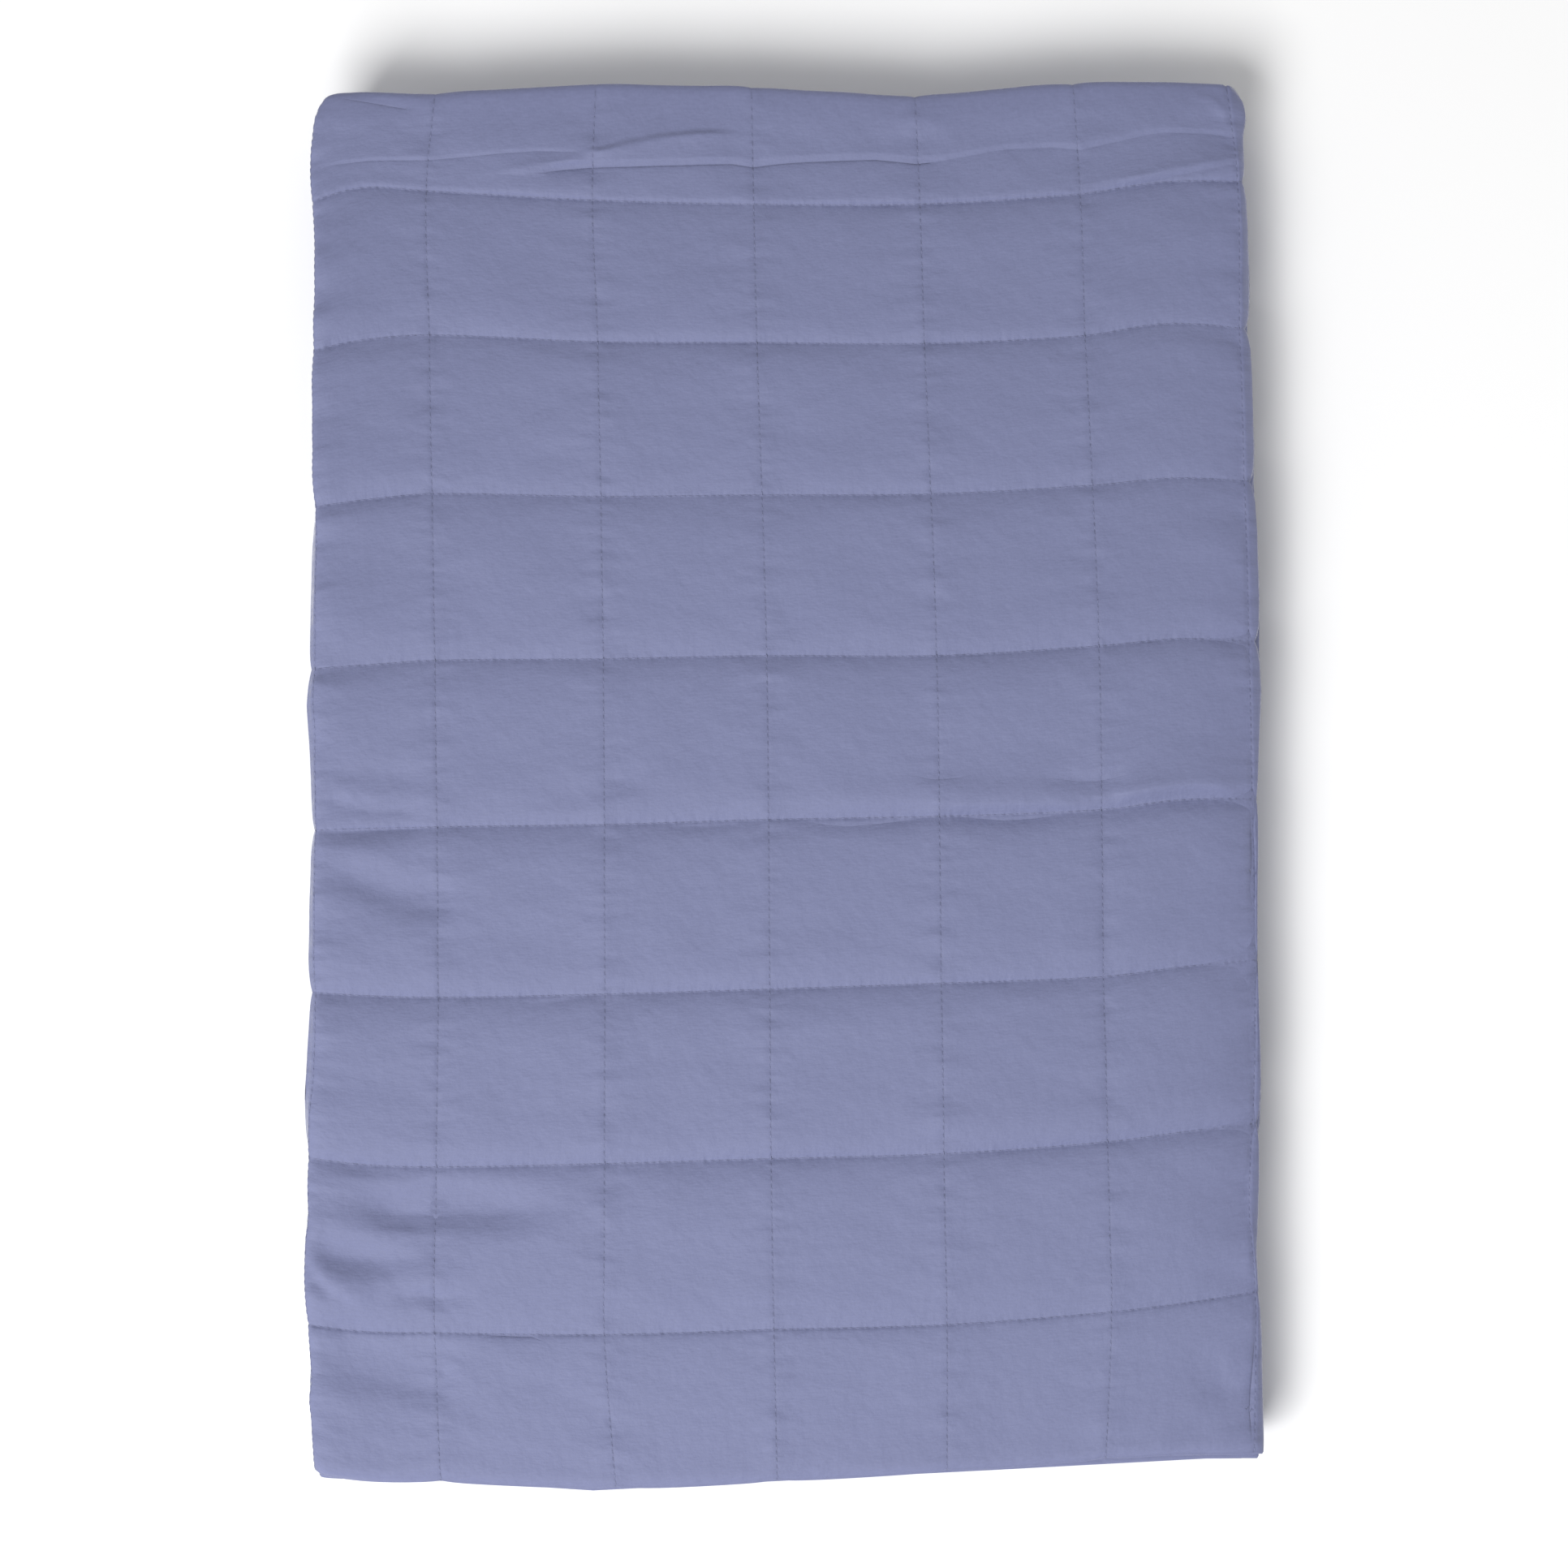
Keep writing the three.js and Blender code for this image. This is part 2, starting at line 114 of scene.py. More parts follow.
# The share of its height by which the pack is thinner towards the thick fold and the hems, and across
THINNER = {"fold": 0.06, "fold_from": 170, "hems": 0.05, "hems_from": -315}
THINNER_ACROSS = [-0.015, 0, 0, 0.02, 0.14]  # at each of SHARED_X
ROLL = {"drop": 8, "width": 18}  # the top layer stays up at the right till it rolls over
FOLD_SQUARE = 10  # the thick fold's outer layers turn on a rounded square: 2 would be a half round


def smoothstep(at, low, high):
    t = np.clip((at - low) / (high - low), 0, 1)
    return t * t * (3 - 2 * t)


def through(places, values, at):
    """The value at each place of at, along a smooth curve through the values at some places."""
    places, values = np.array(places, float), np.array(values, float)
    if values.ndim == 1:
        values = np.repeat(values[:, None], len(at), axis=1)
    last = len(places) - 1
    here = np.clip(at, places[0], places[-1])
    k = np.clip(np.searchsorted(places, here) - 1, 0, last - 1)
    every = np.arange(len(at))

    def slope(i):
        a, b = np.maximum(i - 1, 0), np.minimum(i + 1, last)
        return (values[b, every] - values[a, every]) / (places[b] - places[a])

    span = places[k + 1] - places[k]
    t = (here - places[k]) / span
    end = t * t * (3 - 2 * t)
    between = values[k, every] * (1 - end) + values[k + 1, every] * end
    return between + t * (1 - t) * (1 - t) * slope(k) * span - t * t * (1 - t) * slope(k + 1) * span


def drift_along(x, y):
    """How far the cloth lies from its even place along it, taken from the cross seams."""
    offsets = [through(PLACES_X, row, x) - even for even, row in CROSSING.items()]
    return through(list(CROSSING), offsets, y)


def drift_across(x, y):
    """The same across it, taken from the lengthwise seams and the outline on both sides."""
    fold_reach = SIDE_FOLD_X + LAYER_RADIUS + AT_SIDE_FOLD
    offsets = [through(PLACES_Y, row, y) - even for even, row in LENGTHWISE.items()]
    hem = through(list(HEM_LINE), list(HEM_LINE.values()), y) - EDGE_X
    fold = through(list(FOLD_LINE), list(FOLD_LINE.values()), y) - fold_reach
    return through([EDGE_X, *LENGTHWISE, fold_reach], [hem, *offsets, fold], x)


def drift(x, y, own_share):
    """How far a point of the pack lies from the even grid of seams."""
    ends = np.array([drift_along(np.full_like(x, place), y) for place in SHARED_X])
    k = np.clip(np.searchsorted(SHARED_X, x) - 1, 0, len(SHARED_X) - 2)
    near, far = np.take(SHARED_X, k), np.take(SHARED_X, k + 1)
    t = np.clip((x - near) / (far - near), 0, 1)
    every = np.arange(len(x))
    shared = ends[k, every] * (1 - t) + ends[k + 1, every] * t
    own = drift_along(x, y) - shared
    own = np.where(own_share < 1, np.maximum(own, -1), own)
    return drift_across(x, y), shared + own * own_share


# Distances along the open cloth at which it turns, in millimetres from the top layer's hems
TOP_WIDTH, INNER_WIDTH = SIDE_FOLD_X - EDGE_X, 2 * SIDE_FOLD_X
SIDE_TURN = math.pi * LAYER_RADIUS
WIDTH = 2 * TOP_WIDTH + (LAYERS - 2) * INNER_WIDTH + (LAYERS - 1) * SIDE_TURN
TOP_LENGTH, MIDDLE_LENGTH = FAR_FOLD_Y - FIRST_END_Y, FAR_FOLD_Y - NEAR_FOLD_Y
LENGTH = TOP_LENGTH + MIDDLE_LENGTH + LAST_END_Y - NEAR_FOLD_Y + 2 * math.pi * BUNDLE_RADIUS


def fold_across(u):
    """Where u comes in the bundle: x, height in it, which way the cloth's outer face looks, and layer.

    The layer is a whole number from the top, and a half more on the fold to the next one.
    """
    x, h, out_x, out_h, layer = (np.zeros_like(u) for _ in range(5))
    start = 0.0
    for n in range(LAYERS):
        side = -1 if n % 2 else 1
        level = (MIDDLE - n) * LAYER_PITCH
        width = TOP_WIDTH if n in (0, LAYERS - 1) else INNER_WIDTH
        here = u >= start
        x[here] = (EDGE_X if n == 0 else -side * SIDE_FOLD_X) + side * (u[here] - start)
        h[here], out_x[here], out_h[here], layer[here] = level, 0, side, n
        start += width
        if n < LAYERS - 1:
            here = u > start
            turn = np.minimum((u[here] - start) / LAYER_RADIUS, math.pi)
            x[here] = side * (SIDE_FOLD_X + LAYER_RADIUS * np.sin(turn))
            h[here] = level - LAYER_RADIUS + LAYER_RADIUS * np.cos(turn)
            out_x[here], out_h[here] = np.sin(turn), side * np.cos(turn)
            layer[here] = n + 0.5
            start += SIDE_TURN
    return x, h, out_x, out_h, layer


def fold_along(v, h):
    """Where v comes in the pack: the bundle's middle there, its up, and how many half turns it has made."""
    low = TOP_LEVEL + FILLED
    top = low + (BUNDLES - 1) * BUNDLE_PITCH
    first = np.clip((v - TOP_LENGTH) / (BUNDLE_RADIUS + h), 0, math.pi)
    into = v - TOP_LENGTH - math.pi * (BUNDLE_RADIUS + h) - MIDDLE_LENGTH
    second = np.clip(into / (BUNDLE_RADIUS - h), 0, math.pi)
    y = np.where(v < TOP_LENGTH, FIRST_END_Y + v, FAR_FOLD_Y + BUNDLE_RADIUS * np.sin(first))
    y = np.where(first >= math.pi, NEAR_FOLD_Y - into, y)
    y = np.where(into > 0, NEAR_FOLD_Y - BUNDLE_RADIUS * np.sin(second), y)
    y = np.where(second >= math.pi, NEAR_FOLD_Y + into - math.pi * (BUNDLE_RADIUS - h), y)
    z = top + BUNDLE_RADIUS * (np.cos(first) - 1) + BUNDLE_RADIUS * (np.cos(second) - 1)
    up_y, up_z = np.sin(first) + np.sin(second), np.where(second > 0, -np.cos(second), np.cos(first))
    # The outer layers of the thick fold stay flat further out
    cosine, sine = np.abs(np.cos(first)), np.abs(np.sin(first))
    square = (cosine**FOLD_SQUARE + sine**FOLD_SQUARE) ** (-1 / FOLD_SQUARE)
    fuller = np.where(first < math.pi / 2, square - 1, 0) * smoothstep(h, -TOP_LEVEL, TOP_LEVEL)
    y = y + fuller * (BUNDLE_RADIUS + h) * np.sin(first)
    z = z + fuller * (BUNDLE_RADIUS + h) * np.cos(first)
    return y, z, up_y, up_z, (first + second) / math.pi


# Lines of stitches on the open cloth: those of the top layer, then the hidden ones in even squares
SQUARE, HIDDEN_SQUARES = 101, 16
SEAMS_U = [x - EDGE_X for x in LENGTHWISE]
SEAMS_V = [y - FIRST_END_Y for y in list(CROSSING)[1:-1]]
TOP_SEAMS_U, TOP_SEAMS_V = len(SEAMS_U), len(SEAMS_V)
for seams in (SEAMS_U, SEAMS_V):
    seams += [seams[-1] + SQUARE * n for n in range(1, HIDDEN_SQUARES + 1)]


def to_seams(at, seams, ends):
    """Distance back to the last seam or end before each place, on to the next, and which span it is in."""
    marks = np.array([ends[0], *seams, ends[1]], float)
    k = np.clip(np.searchsorted(marks, at, side="right") - 1, 0, len(marks) - 2)
    return at - marks[k], marks[k + 1] - at, k


LATTICE = (97, 89)  # how many units the unevenness runs before it comes again


def soft_noise(x, y, seed):
    """Smooth unevenness from -1 to 1, one swell to a unit, the same each time."""
    lattice = np.random.default_rng(seed).uniform(-1, 1, LATTICE)
    i, j = np.floor(x).astype(int), np.floor(y).astype(int)
    s, t = smoothstep(x - i, 0, 1), smoothstep(y - j, 0, 1)

    def corner(a, b):
        return lattice[(i + a) % LATTICE[0], (j + b) % LATTICE[1]]

    near = corner(0, 0) * (1 - s) + corner(1, 0) * s
    far = corner(0, 1) * (1 - s) + corner(1, 1) * s
    return near * (1 - t) + far * t


# How wide the long hem's strip still shows from above, by y: the rest of it has rolled over the edge
HEM_SHOWS = {
    -415: 1, -262: 1, -222: 1.8, -198: 3.4, -180: 5, -150: 4.6, -120: 4.2, -60: 3.4, -30: 3.2, 10: 3.6,
    37: 4.9, 60: 4.8, 97: 4, 133: 3.5, 160: 2.8, 185: 1.4, 232: 1.6, 262: 1, 315: 0.6, 428.5: 0.5,
}
HEM_BEND = {"at": HEM_WIDTH + 1, "soft": 0.8, "reach": 40, "ends": 80, "level_by": 0.3}


def hem_rolled(u, y, turned):
    """How the top layer's hem strip lies: its shift across, and how far it hangs down."""
    shows = np.interp(y, list(HEM_SHOWS), list(HEM_SHOWS.values()))
    out = np.clip((HEM_WIDTH - u) / HEM_WIDTH, 0, 1)
    sine = np.sqrt(np.clip(1 - (shows / HEM_WIDTH) ** 2, 0, 1))
    inside = np.clip((u - HEM_WIDTH) / (SEAMS_U[0] - HEM_WIDTH), 0, 1)
    shift = (shows - HEM_WIDTH) * np.where(u < HEM_WIDTH, 1 - out, (1 - inside) ** 2)
    past_bend = HEM_BEND["at"] - np.clip(u, 0, HEM_BEND["reach"])
    hang = sine * np.log1p(np.exp(past_bend / HEM_BEND["soft"])) * HEM_BEND["soft"]
    level = 1 - smoothstep(turned, 0, HEM_BEND["level_by"])
    here = (u < HEM_BEND["ends"]) & (turned < 0.5)
    return np.where(here, shift, 0), np.where(here, hang * level, 0)


# Creases of the top face that no thread holds, x and y as in the tables. depth is down, or up where negative;
# above and below are how far it reaches towards the thick fold and towards the hem, and soft rounds its
# bottom. Its ends die away over fade. A rolled one has rounded shoulders, one with an upper or lower edge is
# steep on that side, and sharp is how deep a line was pressed in along it.
CREASES = [
    # beside the thick fold
    {"depth": 0.8, "above": 1.3, "below": 14, "soft": 0.2, "fade": 30, "form": "upper edge", "sharp": 0.22,
     "line": [(-290, 374.5), (-272, 378.5), (-251, 381), (-218, 381.6), (-190, 383.8), (-173, 385.6),
              (-150, 387), (-118, 386)]},
    {"depth": -2.2, "above": 2.0, "below": 12, "soft": 0.2, "fade": 20, "form": "upper edge",
     "line": [(-124, 384.8), (-110, 386.8), (-95, 390.5), (-75, 394.6), (-50, 397.6), (-28, 397.3)]},
    {"depth": 1.5, "above": 2.6, "below": 9, "soft": 0.2, "fade": 12, "form": "upper edge", "sharp": 0.45,
     "line": [(-150, 373.8), (-135, 375.6), (-118, 377.2), (-101, 377.4), (-62, 378.5), (-32, 379.5),
              (-19, 377.7), (-3, 379.6), (11, 380.6), (56, 382), (81, 379.6), (95, 381.2)]},
    {"depth": 1.1, "above": 1.8, "below": 10, "soft": 0.3, "fade": 10, "form": "upper edge", "sharp": 0.1,
     "line": [(84, 379.4), (105, 383), (135, 388.6), (166, 390), (181, 388.5), (202, 393), (222, 398),
              (232, 399.5), (262, 399), (280, 397)]},
    {"depth": -1.9, "above": 5, "below": 1.9, "soft": 0.2, "fade": 12, "form": "lower edge",
     "line": [(-171, 374), (-156, 376.2), (-140, 380), (-118, 383)]},
    {"depth": -2.6, "above": 7, "below": 2.3, "soft": 0.2, "fade": 40, "form": "lower edge",
     "line": [(182, 367.5), (210, 371), (233, 375), (254, 380), (281, 385.5)]},
    {"depth": 0.6, "above": 1, "below": 3.5, "soft": 0.2, "fade": 40, "form": "upper edge", "sharp": 0.2,
     "line": [(196, 364.5), (210, 366.8), (233, 370.8), (254, 375.8), (279, 381)]},
    {"depth": 1.1, "above": 2.0, "below": 4, "soft": 0.3, "fade": 14, "form": "upper edge", "sharp": 0.3,
     "line": [(-274, 420), (-248, 416), (-224, 412)]},
    {"depth": -0.9, "above": 2.5, "below": 2.5, "soft": 0.3, "fade": 8, "form": "rolled",
     "line": [(252, 423), (262, 419), (270, 412), (273, 404)]},
    # in the middle rows
    {"depth": 0.6, "above": 1.5, "below": 8, "soft": 0.5, "fade": 20,
     "line": [(-276, 31), (-264, 33.5), (-251, 34), (-229, 34), (-214, 34.5)]},
    {"depth": 2.1, "above": 8, "below": 4, "soft": 1.5, "fade": 20,
     "line": [(-284, 4), (-258, 6), (-229, 3), (-211, 1.5)]},
    {"depth": 2.5, "above": 4, "below": 5, "soft": 1, "fade": 16,
     "line": [(-284, -6), (-277, -9), (-263, -13.5), (-239, -16), (-214, -17.5)]},
    {"depth": 1.4, "above": 0.8, "below": 7, "soft": 0.5, "fade": 20,
     "line": [(-283, -29.5), (-263, -29), (-234, -27.5), (-211, -26.5)]},
    {"depth": -1.4, "above": 6, "below": 9, "soft": 1, "fade": 30, "form": "rolled",
     "line": [(-285, -41), (-262, -42), (-240, -38), (-225, -34)]},
    {"depth": 4.2, "above": 14, "below": 5, "soft": 1, "fade": 26, "form": "rolled",
     "line": [(-284, -57), (-263, -59.5), (-252, -63), (-237, -68.5), (-224, -72), (-211, -73.5),
              (-190, -73)]},
    {"depth": 0.9, "above": 2.5, "below": 3, "soft": 0.4, "fade": 8,
     "line": [(-210, -68.5), (-203, -69), (-196, -68.5)]},
    {"depth": 1.8, "above": 9, "below": 7, "soft": 1, "fade": 24, "form": "rolled",
     "line": [(-152, -4), (-130, -5.5), (-120, -4.5), (-108, -1.5), (-98, 0.5), (-76, 1.5)]},
    {"depth": 0.9, "above": 1, "below": 4, "soft": 0.4, "fade": 14,
     "line": [(-70, -24.4), (-60, -26), (-45, -26), (-26, -23.6)]},
    {"depth": 0.8, "above": 1, "below": 5, "soft": 0.5, "fade": 14,
     "line": [(-160, -132), (-145, -132.5), (-128, -130), (-114, -128)]},
    {"depth": 0.7, "above": 3, "below": 3, "soft": 0.4, "fade": 10, "sharp": 0.12,
     "line": [(-26, 10.6), (-10, 9.6), (4, 9)]},
    {"depth": 0.9, "above": 3, "below": 3.5, "soft": 0.3, "fade": 10, "sharp": 0.18,
     "line": [(78, 5.5), (86, 3.2), (92, 2.6), (100, 3), (112, 4.5)]},
    {"depth": 2.4, "above": 3.6, "below": 4.5, "soft": 0.3, "fade": 14, "form": "upper edge", "sharp": 0.2,
     "line": [(160, 3.8), (176, 1.6), (190, 1.6), (200, 3.6), (212, 7)]},
    {"depth": -3.6, "above": 8, "below": 4, "soft": 0.3, "fade": 16, "form": "lower edge",
     "line": [(196, -9), (201, -6.6), (219, -3.5), (240, 0), (254, 1.2), (267, -1.5), (280, -6)]},
    {"depth": -2.2, "above": 8, "below": 3.5, "soft": 0.3, "fade": 18, "form": "lower edge",
     "line": [(90, -13.8), (116, -12.2), (157, -11.8), (188, -11.8)]},
    {"depth": 1.6, "above": 14, "below": 8, "soft": 3, "fade": 30,
     "line": [(60, 4), (139, 4), (206, 3.5)]},
    {"depth": -1.3, "above": 14, "below": 7, "soft": 4, "fade": 60,
     "line": [(-8, -9), (66, -7), (139, -4.5), (213, -6), (284, -4.5)]},
    {"depth": 1.3, "above": 1.5, "below": 6, "soft": 0.4, "fade": 16, "sharp": 0.15,
     "line": [(12, -22.6), (26, -25), (40, -25.8), (60, -24), (75, -22), (89, -20.4)]},
    {"depth": 1.4, "above": 1.5, "below": 6, "soft": 0.4, "fade": 16, "sharp": 0.15,
     "line": [(102, -19.6), (118, -21), (133, -22.2), (148, -21.4), (160, -19.8), (171, -17.4)]},
    {"depth": 1.0, "above": 8, "below": 7, "soft": 1.5, "fade": 60,
     "line": [(192, 20), (194, -60), (195, -140), (196.5, -260)]},
    {"depth": 2.4, "above": 2, "below": 2.5, "soft": 0.4, "fade": 14, "sharp": 0.6,
     "line": [(283.4, -20), (283.8, -36), (284.4, -54), (284, -76)]},
    # in the rows at the hem end
    {"depth": -1.2, "above": 4.5, "below": 8, "soft": 0.5, "fade": 30, "form": "rolled",
     "line": [(-284, -235), (-262, -238.5), (-240, -241), (-214, -243)]},
    {"depth": 6.8, "above": 16, "below": 9.5, "soft": 0.5, "fade": 45, "form": "rolled",
     "line": [(-275, -250), (-250, -254), (-232, -257), (-211, -257.5), (-206, -256.5), (-180, -257.5),
              (-132, -257)]},
    {"depth": 2.0, "above": 5, "below": 5, "soft": 0.5, "fade": 14, "form": "rolled",
     "line": [(-250, -261.5), (-228, -262.5), (-211.5, -264)]},
    {"depth": 1.2, "above": 2.5, "below": 5, "soft": 0.3, "fade": 9, "form": "upper edge",
     "line": [(-212, -253), (-205, -254.5), (-196, -254)]},
    {"depth": 1.0, "above": 2.5, "below": 3, "soft": 0.3, "fade": 7, "form": "rolled",
     "line": [(-223, -269), (-214, -270), (-206, -272.5), (-198, -272)]},
    {"depth": 1.0, "above": 2, "below": 3, "soft": 0.3, "fade": 6, "form": "rolled",
     "line": [(-221, -283), (-212, -284), (-205, -284)]},
    {"depth": 5.6, "above": 12, "below": 7, "soft": 0.5, "fade": 36, "form": "rolled",
     "line": [(-294, -270), (-283, -278), (-270, -284.5), (-254, -287), (-238, -288), (-216, -286)]},
    {"depth": -2.2, "above": 9, "below": 2.4, "soft": 0.3, "fade": 10, "form": "rolled",
     "line": [(-290, -277), (-284, -285), (-278, -293.5), (-271, -301), (-260, -308.5), (-246, -312)]},
    {"depth": 1.0, "above": 3, "below": 4, "soft": 0.3, "fade": 8, "form": "rolled",
     "line": [(-291, -284), (-285.5, -293), (-279.5, -301.5), (-270, -309)]},
    {"depth": 1.6, "above": 5, "below": 5, "soft": 0.5, "fade": 12, "form": "rolled",
     "line": [(-238, -307), (-218, -309), (-205, -309), (-186, -306)]},
    {"depth": 0.9, "above": 1, "below": 3, "soft": 0.4, "fade": 8, "sharp": 0.35,
     "line": [(-179, -331.9), (-160, -332.6), (-151, -332.8), (-142.5, -336)]},
    {"depth": 4.4, "above": 20, "below": 12, "soft": 3, "fade": 30, "form": "rolled",
     "line": [(-288, -345), (-264, -348), (-240, -353), (-216, -358), (-188, -362)]},
    {"depth": 1.0, "above": 3, "below": 4, "soft": 0.7, "fade": 5,
     "line": [(-209, -355), (-198, -356)]},
    {"depth": 1.8, "above": 9, "below": 6, "soft": 2, "fade": 12,
     "line": [(250, -292), (268, -293), (280, -295)]},
    {"depth": 1.3, "above": 8, "below": 7, "soft": 2, "fade": 10,
     "line": [(238, -354), (255, -348.5), (266, -345.5)]},
    {"depth": 2.6, "above": 9, "below": 6, "soft": 1.5, "fade": 8,
     "line": [(253, -367.5), (263, -364.5), (273, -361)]},
    {"depth": 1.6, "above": 3, "below": 5, "soft": 0.6, "fade": 8,
     "line": [(238.5, -403), (241.5, -395.5), (248.5, -388), (256, -381.5)]},
    {"depth": 0.8, "above": 1, "below": 1, "soft": 0.3, "fade": 12, "sharp": 0.5,
     "line": [(284, -330), (283, -343), (281, -366), (280.5, -378), (282, -397)]},
]


CREASE_REACHES = 6  # how many times its reach a soft crease can be felt
EDGE_SPREAD = 1.6  # and how many times it a rolled one, or one with an edge, runs out
END_TRACE, LEAST_SHARE = 1, 0.12  # at its ends a crease dies away to this share of its depth
LINE_FADES, NO_LINE = (1.5, 3.5), 30  # a pressed line is gone between these gaps, and where there is none


def creased(x, y):
    """How far the creases lower the top face, and how far off and how deep the nearest pressed line is."""
    down = np.zeros_like(x)
    line_gap, line_depth = np.full_like(x, NO_LINE), np.zeros_like(x)
    for crease in CREASES:
        line = np.array(crease["line"], float)
        above, below, soft, fade = (crease[key] for key in ("above", "below", "soft", "fade"))
        reach = CREASE_REACHES * max(above, below) + fade
        low, high = line.min(0) - reach, line.max(0) + reach
        near = np.flatnonzero((x > low[0]) & (x < high[0]) & (y > low[1]) & (y < high[1]))
        across = np.full(len(near), np.inf)
        signed, along = np.zeros(len(near)), np.zeros(len(near))
        lengths = np.concatenate([[0], np.cumsum(np.linalg.norm(np.diff(line, axis=0), axis=1))])
        for k, (start, end) in enumerate(zip(line[:-1], line[1:])):
            way = end - start
            from_x, from_y = x[near] - start[0], y[near] - start[1]
            inside = np.clip((from_x * way[0] + from_y * way[1]) / (way @ way), 0, 1)
            gap = np.hypot(from_x - inside * way[0], from_y - inside * way[1])
            side = np.sign(way[0] * from_y - way[1] * from_x) * np.sign(way[0])
            closer = gap < across
            across = np.where(closer, gap, across)
            signed = np.where(closer, side * gap, signed)
            along = np.where(closer, lengths[k] + inside * (lengths[k + 1] - lengths[k]), along)
        width = np.where(signed > 0, above, below)
        away = np.sqrt(signed**2 + soft**2) - soft
        even = np.clip(1 - away / (EDGE_SPREAD * width), 0, 1)
        form = crease.get("form", "soft")
        if form == "rolled":
            shape = smoothstep(even, 0, 1)
        else:
            edged = {"upper edge": signed > 0, "lower edge": signed < 0}.get(form, False)
            shape = np.where(edged, even, np.exp(-away / width))
        to_ends = smoothstep(along, -END_TRACE, fade) * smoothstep(lengths[-1] - along, -END_TRACE, fade)
        down[near] += crease["depth"] * shape * (LEAST_SHARE + (1 - LEAST_SHARE) * to_ends)
        if crease.get("sharp", 0):
            nearest = across < np.abs(line_gap[near])
            line_gap[near] = np.where(nearest, signed, line_gap[near])
            depth = crease["sharp"] * to_ends * (1 - smoothstep(across, *LINE_FADES))
            line_depth[near] = np.where(nearest, depth, line_depth[near])
    return down, line_gap, line_depth


# By y: how far the right side of the top face eases down, and how much higher its left side stands
SIDES_LIE = {
    -415: (0, 0), -340: (0, 0), -270: (4, 0.5), -150: (5.5, 0), -20: (5, 0), 100: (3.5, 2.5), 200: (1, 4),
    300: (0, 3.5), 360: (-0.5, 2), 420: (0, 0),
}
EASED_OVER, PILED_OVER = 30, 40  # and how far in from its side each goes
CROWN = 4.6  # how far a square's top stands over its cross seams
# For each row of squares from the hem: how steeply it rises from its lower seam, and its share of the crown
RISE = [3, 15, 7.5, 7.5, 8.5, 9, 8.5, 5, 1.6]
FULLNESS = [0.8, 1.1, 1.22, 1.08, 1.15, 1, 0.95, 0.9, 0.7]
FALL = 8.5  # and over which length it falls to the seam above it
HEM_ROW_FALL = {1.8: 0.4, 8: 0.25, 40: 0.35}  # the row at the hem falls in three stages: length and share
HEM_STRIP = {"height": 2.8, "over": 6}  # between the long hem and the first seam the cloth stands higher
SIDE_ROLL = {"height": 1.1, "over": 1.5, "from": -340, "to": -300}  # and it rolls up past the last seam
STITCH_DIP = {"depth": 0.25, "over": 1.2, "flat": 0.25}  # right at the stitches
SEAM_DIP = {"depth": 0.75, "over": 9}  # and the wide dip along a lengthwise seam
# Folds that the hem and the seams draw in, shallower further out, and the unevenness of the filling: height,
# how far they reach, the size of a swell across and along, where the unevenness starts, and its seed
UNEVEN = {
    "hem": {"height": 1.9, "reach": 26, "across": 70, "along": 15, "start": 3, "seed": 16},
    "side fold": {"height": 2.4, "reach": 22, "across": 60, "along": 19, "start": 9, "seed": 17},
    "seams": {"height": 1.15, "reach": 11, "across": 40, "along": 11, "start": 0.5, "seed": 12},
    "filling": {"height": 0.75, "across": 58, "along": 40, "start": 0, "seed": 14},
    "fine filling": {"height": 0.6, "across": 24, "along": 15, "start": 0, "seed": 15},
}
HELD_AT_HEM = {"share": 0.35, "over": 3}  # the topstitching holds the folds at the hem a little flatter
CLEAR_OF_SEAMS = 10  # how far from a cross seam they come to their height


def unevenness(name, u, v):
    swell = UNEVEN[name]
    noise = soft_noise(u / swell["across"] + swell["start"], v / swell["along"], swell["seed"])
    return swell["height"] * noise


